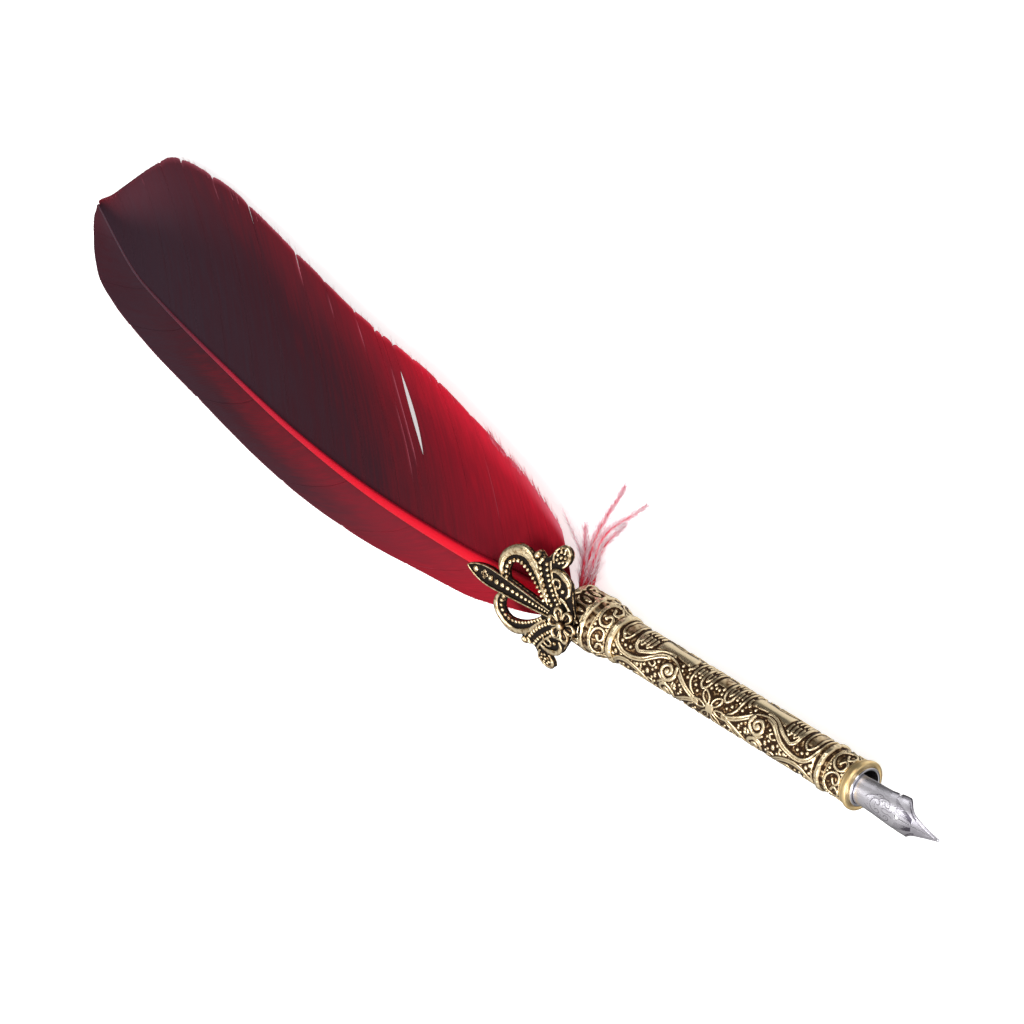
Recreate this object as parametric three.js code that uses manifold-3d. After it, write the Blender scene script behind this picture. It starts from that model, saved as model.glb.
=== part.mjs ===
// A feather dip pen: a large feather set in an embossed metal barrel, with a cast fleur-de-lis over
// the feather's foot and a steel nib that pulls out of a plain ferrule at the front.
// Millimetres. The barrel's axis is X and the nib points along +X. The ornament faces +Z, the
// feather's broad vane is on the +Y side and its narrow vane on the -Y side. The finished group
// stands on z = 0, under the middle of the whole pen.
import * as THREE from "three";
import { mergeVertices } from "three/addons/utils/BufferGeometryUtils.js";
import Module from "manifold-3d";

const wasm = await Module();
wasm.setup();

// ---- Driving dimensions ----------------------------------------------------------------------
const AROUND = 40; // facets round the barrel
const FIT = 0.1; // play between turned pieces that slip over or butt against each other
const SEAT = 0.3; // play between pieces that are soldered or glued together

const BORE_R = 4.45; // hole through every ring of the barrel
const TUBE_R = BORE_R - FIT; // outside of the core tube and of the ferrule
const CORE_TUBE = { from: 0.2, to: 59.8, innerR: 3.3 };
const FERRULE = { from: 60, to: 84.7, innerR: 3.75 };
const PLUG = { from: 60.6, to: 67, r: FERRULE.innerR - FIT };

// The rings of the barrel in their order from the feather to the nib, end to end along X.
const NECK = { from: -1.3, to: 4.9, r: 6.44 };
const COLLAR_RIM = { from: 5, to: 7.8, r: 6.58 };
const REAR_BAND = { from: 7.9, to: 11.5, r: 6.2, smallR: 5.15 };
const REAR_RING = { from: 11.6, to: 13.7, r: 5.54 };
const BARREL = { from: 13.8, to: 72.9, r: 5.0 };
const FRONT_RING = { from: 73, to: 76.2, r: 5.4 };
const FRONT_BAND = { from: 76.3, to: 80.8, r: 5.02 };
const LIP_RING = { from: 80.9, to: 84.2, r: 5.58 };
const RIM_ROUNDING = 0.4; // how far the rim of a ring falls away at its two ends

const NIB_THICKNESS = 0.4;
const NIB_HEEL_R = FERRULE.innerR - 0.05; // the heel lies against the inside of the ferrule
const NIB_CLIP_THICKNESS = 0.5;
const NIB_CLIP = { from: 67.4, to: 81.5, halfAngle: 1.15 };
const NIB_VENT = { x: 95.7, r: 0.5 };
const NIB_SIDE_CUT = { x: 94.2, y: 4.3, r: 0.7 }; // three-cornered nick in each edge
const NIB_SLIT_WIDTH = 0.12;
// Along the nib: x, half width, radius of its arched section, height of its crown.
const NIB_STATIONS = [
  [73.5, 3.5, NIB_HEEL_R, NIB_HEEL_R],
  [85.2, 3.5, NIB_HEEL_R, NIB_HEEL_R],
  [88.5, 3.7, 4.0, 3.68],
  [92.5, 4.0, 4.8, 3.62],
  [95.6, 4.4, 5.2, 3.5],
  [97, 4.45, 5.3, 3.4],
  [97.6, 4.15, 5.4, 3.36],
  [98.4, 3.45, 5.5, 3.3],
  [99.6, 2.55, 5.6, 3.2],
  [101, 1.95, 5.6, 3.07],
  [103, 1.3, 5.6, 2.9],
  [105, 0.75, 5.6, 2.74],
  [106.7, 0.3, 5.6, 2.62],
];

const ORNAMENT_FACE_Z = 7; // the cast ornament's front, on the centre line
const ORNAMENT_THICKNESS = 1.6;
const ORNAMENT_BEND = 0.018; // its wings fall away by this times y squared
const ROSETTE = { x: 1.6, petals: 6, r: 4.2, thickness: 0.9, waist: 0.55 };
const STUD = { headR: 1.1, headHeight: 0.7, shankR: 0.6 };

const CALAMUS_R = 2.1; // the feather's bare quill, inside the barrel
const PACKING = { from: 0.6, to: 13.5, innerR: CALAMUS_R + FIT };
// The middle line of the quill from inside the barrel to the feather's tip: x, y, z.
const SHAFT_LINE = [
  [14, 0, 0],
  [0, 0, 0],
  [-21, -1, 0.6],
  [-35, -1.7, 0.9],
  [-65, -1.4, 1.0],
  [-92, 1.2, 0.5],
  [-116, 5.3, -0.4],
  [-143, 10.7, -1.9],
  [-154, 13.8, -2.7],
  [-169, 23.8, -3.2],
];
// Radius of the quill along x.
const SHAFT_RADII = [
  [14, 2.1],
  [-6, 2.1],
  [-35, 1.6],
  [-90, 1.0],
  [-140, 0.6],
  [-169, 0.35],
];
const SHAFT_SIDES = 8;
const SHAFT_STEPS = 50;

// A vane is a fan of barbs. Each entry is one barb: where it leaves the quill along x, and the x
// and y of its tip on the vane's edge.
const BROAD_VANE = {
  side: 1,
  drop: 3.4,
  barbs: [
    [-3, -17, 20.3],
    [-12, -30, 23.7],
    [-23, -44.8, 27.7],
    [-34, -57.6, 31.2],
    [-44.5, -69, 33],
    [-58, -84.6, 35.4],
    [-72, -97, 38.4],
    [-90, -116.9, 42.8],
    [-106, -134, 45.5],
    [-120, -147, 44.6],
    [-133, -153.5, 39.5],
    [-147, -160.5, 32.4],
    [-157, -165.4, 27.6],
    [-166, -168.8, 25.2],
  ],
};
const NARROW_VANE = {
  side: -1,
  drop: 2.2,
  barbs: [
    [-5, -23, -10],
    [-12, -34, -12.4],
    [-25, -48.4, -13.5],
    [-41, -65.6, -14.7],
    [-57, -81, -14.5],
    [-78, -101.7, -12.7],
    [-101, -124, -8.3],
    [-125, -146, -2.8],
    [-140, -159.6, 2.5],
    [-150, -166, 7.1],
    [-159, -169.2, 15.3],
    [-166, -169.8, 20.6],
  ],
};
const VANE_THICKNESS = 0.7;
const VANE_STATIONS = 30;
const VANE_DIVISIONS = 6;
const VANE_TIP_X = -169.5;
const VANE_FLAT_END = 45; // the camber fades out over this length before the tip

// Loose downy plumes that stick out of the neck beside the feather: root, middle and tip.
const DOWN_PLUMES = [
  [[-2.1, 3.2, -1.6], [-2.6, 15, -3.4], [2.9, 30, -3]],
  [[-2.1, 3.4, -2.7], [-0.9, 16, -3.6], [9.5, 28.6, -2.6]],
  [[-2.1, 3.2, -3.8], [-1.2, 13, -4.6], [3.6, 21.4, -3.4]],
  [[-2.2, 2.6, -0.4], [-3.9, 10, -2.2], [-5.6, 15.7, -3]],
  [[-2.3, 1.2, -3.4], [-5.2, 9, -4.2], [-10, 18.6, -4]],
];
const PLUME_R = 0.45;
const PLUME_TIP_R = 0.18;

// ---- Materials -------------------------------------------------------------------------------
function material(color, metalness, roughness) {
  return new THREE.MeshStandardMaterial({ color, metalness, roughness });
}

const antiqueGold = material(0xa98f5c, 1, 0.38);
const polishedGold = material(0xe0bd78, 1, 0.2);
const chrome = material(0xc9cacf, 1, 0.12);
const steel = material(0xa6a3aa, 1, 0.32);
const liner = material(0x8a8a8e, 1, 0.5);
const glue = material(0x6e5a44, 0, 0.8);
const quill = material(0xb4233a, 0, 0.45);
const vane = material(0x6d1624, 0, 0.8);
const down = material(0xc9405a, 0, 0.9);

// ---- Shape helpers ---------------------------------------------------------------------------
function vec(x, y, z) {
  return new THREE.Vector3(x, y, z);
}

function lerpTable(table, x) {
  const last = table.length - 1;
  const rising = table[last][0] > table[0][0] ? 1 : -1;
  for (let i = 0; i < last; i++) {
    const [x0, y0] = table[i];
    const [x1, y1] = table[i + 1];
    if ((x - x1) * rising <= 0) return y0 + ((y1 - y0) * (x - x0)) / (x1 - x0);
  }
  return table[last][1];
}

// A solid of revolution about X. The profile is a closed loop of [x, radius] corners.
function turned(profile) {
  const loop = [...profile, profile[0]].map(([x, r]) => new THREE.Vector2(r, x));
  return new THREE.LatheGeometry(loop, AROUND).rotateZ(-Math.PI / 2);
}

function sleeve(from, to, innerR, outerR) {
  return turned([[from, innerR], [from, outerR], [to, outerR], [to, innerR]]);
}

// A barrel ring: bored through, its outside given as [fraction of its length, radius] corners.
function barrelRing(place, outline) {
  const length = place.to - place.from;
  const outside = outline.map(([f, r]) => [place.from + f * length, r]);
  return turned([[place.from, BORE_R], ...outside, [place.to, BORE_R]]);
}

function roundedRim(r) {
  const inset = [1, 0.4, 0.1, 0, 0, 0.1, 0.4, 1];
  const along = [0, 0.08, 0.2, 0.4, 0.6, 0.8, 0.92, 1];
  return along.map((f, i) => [f, r - RIM_ROUNDING * inset[i]]);
}

// A closed solid between two grids of points, top[i][j] and bottom[i][j].
function slab(top, bottom) {
  const rows = top.length;
  const cols = top[0].length;
  const points = [...top.flat(), ...bottom.flat()];
  const at = (layer, i, j) => layer * rows * cols + i * cols + j;
  const index = [];
  const quad = (a, b, c, d) => index.push(a, b, c, a, c, d);
  for (let i = 0; i < rows - 1; i++) {
    for (let j = 0; j < cols - 1; j++) {
      quad(at(0, i, j), at(0, i + 1, j), at(0, i + 1, j + 1), at(0, i, j + 1));
      quad(at(1, i, j), at(1, i, j + 1), at(1, i + 1, j + 1), at(1, i + 1, j));
    }
    quad(at(0, i, 0), at(1, i, 0), at(1, i + 1, 0), at(0, i + 1, 0));
    quad(at(0, i, cols - 1), at(0, i + 1, cols - 1), at(1, i + 1, cols - 1), at(1, i, cols - 1));
  }
  for (let j = 0; j < cols - 1; j++) {
    quad(at(0, 0, j), at(0, 0, j + 1), at(1, 0, j + 1), at(1, 0, j));
    quad(at(0, rows - 1, j), at(1, rows - 1, j), at(1, rows - 1, j + 1), at(0, rows - 1, j + 1));
  }
  return new THREE.BufferGeometry().setFromPoints(points).setIndex(index);
}

// A closed rod with a round section along a curve, its radius given by radiusAt(point, t).
function rod(curve, steps, sides, radiusAt) {
  const points = [];
  const index = [];
  const frames = curve.computeFrenetFrames(steps, false);
  for (let i = 0; i <= steps; i++) {
    const centre = curve.getPointAt(i / steps);
    const r = radiusAt(centre, i / steps);
    for (let k = 0; k < sides; k++) {
      const turn = (2 * Math.PI * k) / sides;
      const offset = frames.normals[i].clone().multiplyScalar(r * Math.cos(turn));
      offset.addScaledVector(frames.binormals[i], r * Math.sin(turn));
      points.push(centre.clone().add(offset));
    }
  }
  const at = (i, k) => i * sides + (k % sides);
  for (let i = 0; i < steps; i++) {
    for (let k = 0; k < sides; k++) {
      index.push(at(i, k), at(i, k + 1), at(i + 1, k + 1));
      index.push(at(i, k), at(i + 1, k + 1), at(i + 1, k));
    }
  }
  for (let k = 1; k < sides - 1; k++) {
    index.push(at(0, 0), at(0, k + 1), at(0, k));
    index.push(at(steps, 0), at(steps, k), at(steps, k + 1));
  }
  return new THREE.BufferGeometry().setFromPoints(points).setIndex(index);
}

function toSolid(geometry) {
  const bare = geometry.clone();
  bare.deleteAttribute("normal");
  bare.deleteAttribute("uv");
  const merged = mergeVertices(bare, 1e-4);
  const vertProperties = merged.attributes.position.array;
  const triVerts = new Uint32Array(merged.index.array);
  return new wasm.Manifold(new wasm.Mesh({ numProp: 3, vertProperties, triVerts }));
}

function fromSolid(solid) {
  const mesh = solid.getMesh();
  const geometry = new THREE.BufferGeometry();
  geometry.setAttribute("position", new THREE.BufferAttribute(mesh.vertProperties, 3));
  return geometry.setIndex(new THREE.BufferAttribute(mesh.triVerts, 1));
}

function cut(geometry, ...tools) {
  const start = toSolid(geometry);
  return fromSolid(tools.reduce((solid, tool) => solid.subtract(toSolid(tool)), start));
}

const pen = new THREE.Group();

function add(name, geometry, look) {
  const mesh = new THREE.Mesh(geometry, look);
  mesh.name = name;
  pen.add(mesh);
}

// ---- Barrel ----------------------------------------------------------------------------------
function neckGeometry() {
  const mouth = NECK.r - 0.35;
  return barrelRing(NECK, [[0, mouth], [0.08, NECK.r], [0.3, NECK.r - 0.15], [1, NECK.r]]);
}

function rearBandGeometry() {
  const { r, smallR } = REAR_BAND;
  return barrelRing(REAR_BAND, [[0, r], [0.3, r - 0.15], [0.7, smallR + 0.3], [1, smallR]]);
}

function plainRing(place) {
  return barrelRing(place, [[0, place.r], [1, place.r]]);
}

add("core_tube", sleeve(CORE_TUBE.from, CORE_TUBE.to, CORE_TUBE.innerR, TUBE_R), liner);
add("neck_socket", neckGeometry(), antiqueGold);
add("collar_rim", barrelRing(COLLAR_RIM, roundedRim(COLLAR_RIM.r)), antiqueGold);
add("rear_scroll_band", rearBandGeometry(), antiqueGold);
add("rear_ring", barrelRing(REAR_RING, roundedRim(REAR_RING.r)), antiqueGold);
add("barrel_sleeve", plainRing(BARREL), antiqueGold);
add("front_ring", barrelRing(FRONT_RING, roundedRim(FRONT_RING.r)), antiqueGold);
add("front_scroll_band", plainRing(FRONT_BAND), antiqueGold);
add("lip_ring", barrelRing(LIP_RING, roundedRim(LIP_RING.r)), polishedGold);

// ---- Nib and its holder ----------------------------------------------------------------------
// An arched leaf: at each station its section is an arc under a crown of the given height.
function archedLeaf(stations, thickness, divisions) {
  const layer = (inset) =>
    stations.map(([x, halfWidth, r, crown]) => {
      const halfAngle = Math.asin(halfWidth / r);
      return Array.from({ length: divisions + 1 }, (_, j) => {
        const turn = halfAngle * ((2 * j) / divisions - 1);
        const reach = r - inset;
        return vec(x, reach * Math.sin(turn), crown - r + reach * Math.cos(turn));
      });
    });
  return slab(layer(0), layer(thickness));
}

function nibGeometry() {
  const leaf = archedLeaf(NIB_STATIONS, NIB_THICKNESS, 12);
  const vent = new THREE.CylinderGeometry(NIB_VENT.r, NIB_VENT.r, 6, 16);
  vent.rotateX(Math.PI / 2).translate(NIB_VENT.x, 0, 3);
  const slitLength = 20;
  const slit = new THREE.BoxGeometry(slitLength, NIB_SLIT_WIDTH, 6);
  slit.translate(NIB_VENT.x + slitLength / 2, 0, 3);
  const nicks = [1, -1].map((side) => {
    const nick = new THREE.CylinderGeometry(NIB_SIDE_CUT.r, NIB_SIDE_CUT.r, 6, 3);
    nick.rotateX(Math.PI / 2).rotateZ(side > 0 ? Math.PI : 0);
    return nick.translate(NIB_SIDE_CUT.x, side * NIB_SIDE_CUT.y, 2);
  });
  return cut(leaf, vent, slit, ...nicks);
}

function nibClipGeometry() {
  const r = NIB_HEEL_R - NIB_THICKNESS - 0.05;
  const halfWidth = r * Math.sin(NIB_CLIP.halfAngle);
  const ends = [NIB_CLIP.from, NIB_CLIP.to].map((x) => [x, halfWidth, r, r]);
  return archedLeaf(ends, NIB_CLIP_THICKNESS, 12);
}

add("nib_ferrule", sleeve(FERRULE.from, FERRULE.to, FERRULE.innerR, TUBE_R), chrome);
const plugProfile = [[PLUG.from, 0], [PLUG.from, PLUG.r], [PLUG.to, PLUG.r], [PLUG.to, 0]];
add("ferrule_plug", turned(plugProfile), liner);
add("nib_clip", nibClipGeometry(), liner);
add("nib", nibGeometry(), steel);

// ---- Cast ornament ---------------------------------------------------------------------------
// One side of the fleur-de-lis, from the tip of its spear round to its foot on the neck.
function ornamentSide() {
  const path = new THREE.Path();
  path.moveTo(-29, 0);
  path.bezierCurveTo(-27.5, 1.2, -25, 2.1, -22, 2.2);
  path.lineTo(-18.4, 1.9);
  path.bezierCurveTo(-20.6, 3.2, -21, 6.6, -18.6, 8.4); // outside of the loop
  path.bezierCurveTo(-16.6, 10.4, -13.8, 10.6, -12, 9.5);
  path.bezierCurveTo(-12.2, 10.9, -11.2, 11.6, -9.8, 10.7); // small ball of the outer petal
  path.bezierCurveTo(-8.2, 9.9, -8.2, 11, -7.4, 12.4);
  path.bezierCurveTo(-6.8, 14.2, -4.6, 14.9, -3, 13.6); // big domed lobe
  path.bezierCurveTo(-1.8, 12.4, -2.6, 10.4, -4.2, 9.8);
  path.bezierCurveTo(-3, 9.2, -0.6, 9.2, 0.6, 7.8); // leaf that holds the neck
  path.bezierCurveTo(1.6, 6.4, 2.4, 4.4, 3.6, 2.6);
  path.lineTo(3.6, 0);
  return path.getPoints(5);
}

function loopOpening() {
  const path = new THREE.Path();
  path.moveTo(-16.6, 2.4);
  path.bezierCurveTo(-18, 4, -17.2, 6.6, -14.8, 6.5);
  path.bezierCurveTo(-12.4, 6.3, -8.6, 4.4, -5.8, 1.5);
  path.lineTo(-11, 1.9);
  return path.getPoints(5).reverse();
}

function mirrored(points) {
  return points.map((p) => new THREE.Vector2(p.x, -p.y)).reverse();
}

function bendWings(geometry) {
  const place = geometry.attributes.position;
  for (let i = 0; i < place.count; i++) {
    place.setZ(i, place.getZ(i) - ORNAMENT_BEND * place.getY(i) ** 2);
  }
  return geometry;
}

function fleurGeometry() {
  const side = ornamentSide();
  const outline = new THREE.Shape([...side, ...mirrored(side).slice(1, -1)]);
  outline.holes.push(new THREE.Path(loopOpening()), new THREE.Path(mirrored(loopOpening())));
  const plate = new THREE.ExtrudeGeometry(outline, { depth: ORNAMENT_THICKNESS, bevelEnabled: false });
  plate.translate(0, 0, ORNAMENT_FACE_Z - ORNAMENT_THICKNESS);
  const saddleR = NECK.r + SEAT;
  const saddle = new THREE.CylinderGeometry(saddleR, saddleR, 10, AROUND);
  saddle.rotateZ(Math.PI / 2).translate(NECK.from - SEAT + 5, 0, 0);
  return cut(bendWings(plate), saddle);
}

function rosetteGeometry() {
  const outline = new THREE.Shape();
  const steps = 60;
  for (let i = 0; i < steps; i++) {
    const turn = (2 * Math.PI * i) / steps;
    const petal = Math.abs(Math.cos((ROSETTE.petals * turn) / 2));
    const r = ROSETTE.r * (ROSETTE.waist + (1 - ROSETTE.waist) * petal);
    const point = [r * Math.cos(turn), r * Math.sin(turn)];
    if (i) outline.lineTo(...point);
    else outline.moveTo(...point);
  }
  outline.closePath();
  const hole = new THREE.Path().absarc(0, 0, STUD.shankR + FIT, 0, 2 * Math.PI, true);
  outline.holes.push(hole);
  const options = { depth: ROSETTE.thickness, bevelEnabled: false, curveSegments: 12 };
  const plate = new THREE.ExtrudeGeometry(outline, options);
  return plate.translate(ROSETTE.x, 0, ORNAMENT_FACE_Z + SEAT);
}

// The stud has its shank in the rosette and a domed head over it.
function studGeometry() {
  const bottom = ORNAMENT_FACE_Z + SEAT;
  const seat = bottom + ROSETTE.thickness + FIT;
  const { shankR, headR, headHeight } = STUD;
  const dome = [0, 0.3, 0.6, 0.9, 1.2, Math.PI / 2].map(
    (a) => new THREE.Vector2(headR * Math.cos(a), seat + headHeight * Math.sin(a)),
  );
  dome[dome.length - 1].x = 0;
  const shank = [[0, bottom], [shankR, bottom], [shankR, seat]].map(([r, z]) => new THREE.Vector2(r, z));
  const stud = new THREE.LatheGeometry([...shank, ...dome], 16);
  return stud.rotateX(Math.PI / 2).translate(ROSETTE.x, 0, 0);
}

add("fleur_de_lis", fleurGeometry(), antiqueGold);
add("rosette", rosetteGeometry(), antiqueGold);
add("rosette_stud", studGeometry(), antiqueGold);

// ---- Feather ---------------------------------------------------------------------------------
const shaftCurve = new THREE.CatmullRomCurve3(SHAFT_LINE.map((p) => vec(...p)));

// The point of the quill's middle line at a given x.
function shaftAt(x) {
  let [near, far] = [0, 1];
  for (let i = 0; i < 30; i++) {
    const middle = (near + far) / 2;
    if (shaftCurve.getPoint(middle).x > x) near = middle;
    else far = middle;
  }
  return shaftCurve.getPoint(near);
}

// The vane's grid: one row for each station along the quill, one column for each step across.
function vaneLayer({ side, drop, barbs }, depth) {
  const rootLine = new THREE.SplineCurve(barbs.map(([x], i) => new THREE.Vector2(i, x)));
  const edge = new THREE.CatmullRomCurve3(barbs.map(([, x, y]) => vec(x, y, 0)));
  return Array.from({ length: VANE_STATIONS + 1 }, (_, i) => {
    const along = i / VANE_STATIONS;
    const rootX = rootLine.getPoint(along).y;
    const root = shaftAt(rootX);
    root.y += side * (lerpTable(SHAFT_RADII, rootX) + SEAT);
    const tip = edge.getPoint(along);
    return Array.from({ length: VANE_DIVISIONS + 1 }, (_, j) => {
      const s = j / VANE_DIVISIONS;
      const x = root.x + (tip.x - root.x) * s * (0.6 + 0.4 * s);
      const y = root.y + (tip.y - root.y) * s * (1.15 - 0.15 * s);
      const fade = Math.min(1, Math.max(0.1, (x - VANE_TIP_X) / VANE_FLAT_END));
      const crown = shaftAt(Math.max(x, VANE_TIP_X)).z;
      return vec(x, y, crown - drop * fade * s ** 1.7 - depth);
    });
  });
}

function vaneGeometry(shape) {
  const half = VANE_THICKNESS / 2;
  const [upper, lower] = [vaneLayer(shape, -half), vaneLayer(shape, half)];
  return shape.side > 0 ? slab(lower, upper) : slab(upper, lower);
}

function plumeGeometry(points) {
  const curve = new THREE.CatmullRomCurve3(points.map((p) => vec(...p)));
  return rod(curve, 8, 6, (_, t) => PLUME_R + (PLUME_TIP_R - PLUME_R) * t);
}

add("quill_packing", sleeve(PACKING.from, PACKING.to, PACKING.innerR, CORE_TUBE.innerR - FIT), glue);
const shaftRadius = (point) => lerpTable(SHAFT_RADII, point.x);
add("quill_shaft", rod(shaftCurve, SHAFT_STEPS, SHAFT_SIDES, shaftRadius), quill);
add("broad_vane", vaneGeometry(BROAD_VANE), vane);
add("narrow_vane", vaneGeometry(NARROW_VANE), vane);
DOWN_PLUMES.forEach((points, i) => add(`down_plume_${i + 1}`, plumeGeometry(points), down));

// ---- Stand the pen on z = 0, under the middle of its outline ---------------------------------
const outline = new THREE.Box3().setFromObject(pen);
const middle = outline.getCenter(vec(0, 0, 0));
pen.position.set(-middle.x, -middle.y, -outline.min.z);

export default pen;
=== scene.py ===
import math
from typing import NamedTuple

import bpy
import numpy as np
from mathutils import Matrix, Vector


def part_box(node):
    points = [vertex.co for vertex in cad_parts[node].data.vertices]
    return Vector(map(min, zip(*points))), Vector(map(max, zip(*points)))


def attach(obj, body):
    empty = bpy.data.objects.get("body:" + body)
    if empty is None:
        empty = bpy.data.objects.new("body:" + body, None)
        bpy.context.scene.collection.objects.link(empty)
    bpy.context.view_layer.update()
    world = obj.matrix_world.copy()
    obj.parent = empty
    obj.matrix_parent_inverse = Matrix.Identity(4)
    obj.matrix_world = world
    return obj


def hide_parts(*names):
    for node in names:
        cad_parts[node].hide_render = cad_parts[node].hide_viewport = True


# Looks of a feather dip pen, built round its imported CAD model.
# Lengths are millimetres in the pen's own frame until the last step, as in the part's source:
# the barrel's axis is X and the nib points along +X, the cast ornament faces +Z, and the
# feather's broad vane is on the +Y side. `placed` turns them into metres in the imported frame.
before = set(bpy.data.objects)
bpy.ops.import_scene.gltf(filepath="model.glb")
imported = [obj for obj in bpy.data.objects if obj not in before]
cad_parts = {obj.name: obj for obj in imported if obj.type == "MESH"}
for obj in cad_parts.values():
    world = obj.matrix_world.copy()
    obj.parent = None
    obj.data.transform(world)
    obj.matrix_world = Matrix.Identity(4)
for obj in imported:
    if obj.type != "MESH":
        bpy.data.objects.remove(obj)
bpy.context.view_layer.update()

MM = 0.001
SLEEVE_START = 13.8  # where the barrel sleeve starts along the axis
sleeve_low, sleeve_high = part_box("barrel_sleeve")
AXIS_ORIGIN = np.array([
    sleeve_low.x - SLEEVE_START * MM,
    (sleeve_low.y + sleeve_high.y) / 2,
    (sleeve_low.z + sleeve_high.z) / 2,
])


def placed(points):
    """Points in millimetres on the pen's axis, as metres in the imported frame."""
    return np.asarray(points, float) * MM + AXIS_ORIGIN


def on_axis(point):
    """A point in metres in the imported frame, as millimetres on the pen's axis."""
    return (np.array(point) - AXIS_ORIGIN) / MM


def span(node):
    """Where a CAD node starts and ends along the pen's axis."""
    low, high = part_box(node)
    return on_axis(low)[0], on_axis(high)[0]


def outer_radius(node):
    low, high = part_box(node)
    return (high.y - low.y) / 2 / MM


# ---- Numbers and curves ------------------------------------------------------------------------
def smoothstep(low, high, x):
    t = np.clip((np.asarray(x, float) - low) / (high - low), 0, 1)
    return t * t * (3 - 2 * t)


def catmull(points, u, power=0.5):
    """The Catmull-Rom curve through the points at parameters u, a whole number at each point.
    A power of 0.5 is centripetal, as the part's curves are, and 0 is uniform."""
    p = np.asarray(points, float)
    p = p.reshape(len(p), -1)
    p = np.vstack([2 * p[0] - p[1], p, 2 * p[-1] - p[-2]])
    u = np.asarray(u, float)
    i = np.clip(u.astype(int), 0, len(p) - 4)
    t = (u - i)[..., None]
    steps = np.linalg.norm(np.diff(p, axis=0), axis=1) ** power
    steps = np.maximum(steps, 1e-6)[:, None]
    before, here, after = steps[i], steps[i + 1], steps[i + 2]
    p0, p1, p2, p3 = p[i], p[i + 1], p[i + 2], p[i + 3]
    leave = ((p1 - p0) / before - (p2 - p0) / (before + here) + (p2 - p1) / here) * here
    arrive = ((p2 - p1) / here - (p3 - p1) / (here + after) + (p3 - p2) / after) * here
    return (p1 + leave * t + (3 * (p2 - p1) - 2 * leave - arrive) * t**2
            + (2 * (p1 - p2) + leave + arrive) * t**3)


def spline(points, steps=8):
    """A smooth open curve through the points."""
    if len(points) < 3:
        return np.asarray(points, float)
    return catmull(points, np.linspace(0, len(points) - 1, (len(points) - 1) * steps + 1))


def value_noise(x, y, seed, period_y=None):
    """Smooth noise from -1 to 1 on a unit lattice; period_y closes it round a barrel."""
    size = 64
    table = np.random.default_rng(seed).uniform(-1, 1, (size, size))
    x0 = np.floor(x).astype(int)
    y0 = np.floor(y).astype(int)
    fx = smoothstep(0, 1, x - x0)
    fy = smoothstep(0, 1, y - y0)

    def at(i, j):
        if period_y:
            j = np.mod(j, period_y)
        return table[np.mod(i, size), np.mod(j, size)]

    near = at(x0, y0) * (1 - fx) + at(x0 + 1, y0) * fx
    far = at(x0, y0 + 1) * (1 - fx) + at(x0 + 1, y0 + 1) * fx
    return near * (1 - fy) + far * fy


# ---- Meshes ------------------------------------------------------------------------------------
def in_scene(name, data):
    """A new object in the scene that holds a mesh, curve, lamp or camera."""
    obj = bpy.data.objects.new(name, data)
    bpy.context.scene.collection.objects.link(obj)
    return obj


def store(mesh, key, values):
    """Keeps one number for each vertex, for the materials to read by its key."""
    layer = mesh.attributes.new(key, "FLOAT", "POINT")
    layer.data.foreach_set("value", np.asarray(values, np.float32).ravel())


def mesh_object(name, points, faces, material, attributes=None, smooth=True):
    """An object from points in millimetres; attributes are one number for each vertex."""
    mesh = bpy.data.meshes.new(name)
    mesh.from_pydata(placed(points).tolist(), [], [list(face) for face in faces])
    for key, values in (attributes or {}).items():
        store(mesh, key, values)
    mesh.materials.append(material)
    mesh.polygons.foreach_set("use_smooth", [smooth] * len(mesh.polygons))
    mesh.update()
    return in_scene(name, mesh)


def finished_mesh(obj):
    """A new mesh of the object as its modifiers, or its curve's thickness, make it."""
    graph = bpy.context.evaluated_depsgraph_get()
    return bpy.data.meshes.new_from_object(obj.evaluated_get(graph), preserve_all_data_layers=True,
                                           depsgraph=graph)


def grid_faces(rows, cols, wrap_rows=False, wrap_cols=False, start=0):
    """Quads over a grid of points stored row after row."""
    i = np.arange(rows if wrap_rows else rows - 1)
    j = np.arange(cols if wrap_cols else cols - 1)
    i, j = np.meshgrid(i, j, indexing="ij")
    i2, j2 = (i + 1) % rows, (j + 1) % cols
    quads = np.stack([i * cols + j, i2 * cols + j, i2 * cols + j2, i * cols + j2], -1)
    return quads.reshape(-1, 4) + start


def slab_faces(rows, cols, start=0):
    """Quads of a closed slab: an upper grid, then a lower grid of the same size."""
    top = grid_faces(rows, cols, start=start)
    bottom = grid_faces(rows, cols, start=start + rows * cols)[:, ::-1]
    loop = np.concatenate([
        np.arange(cols),
        np.arange(1, rows) * cols + cols - 1,
        np.arange(cols - 2, -1, -1) + (rows - 1) * cols,
        np.arange(rows - 2, 0, -1) * cols,
    ]) + start
    ahead = np.roll(loop, -1)
    side = np.stack([loop, ahead, ahead + rows * cols, loop + rows * cols], -1)
    return np.vstack([top, bottom, side])


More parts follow.
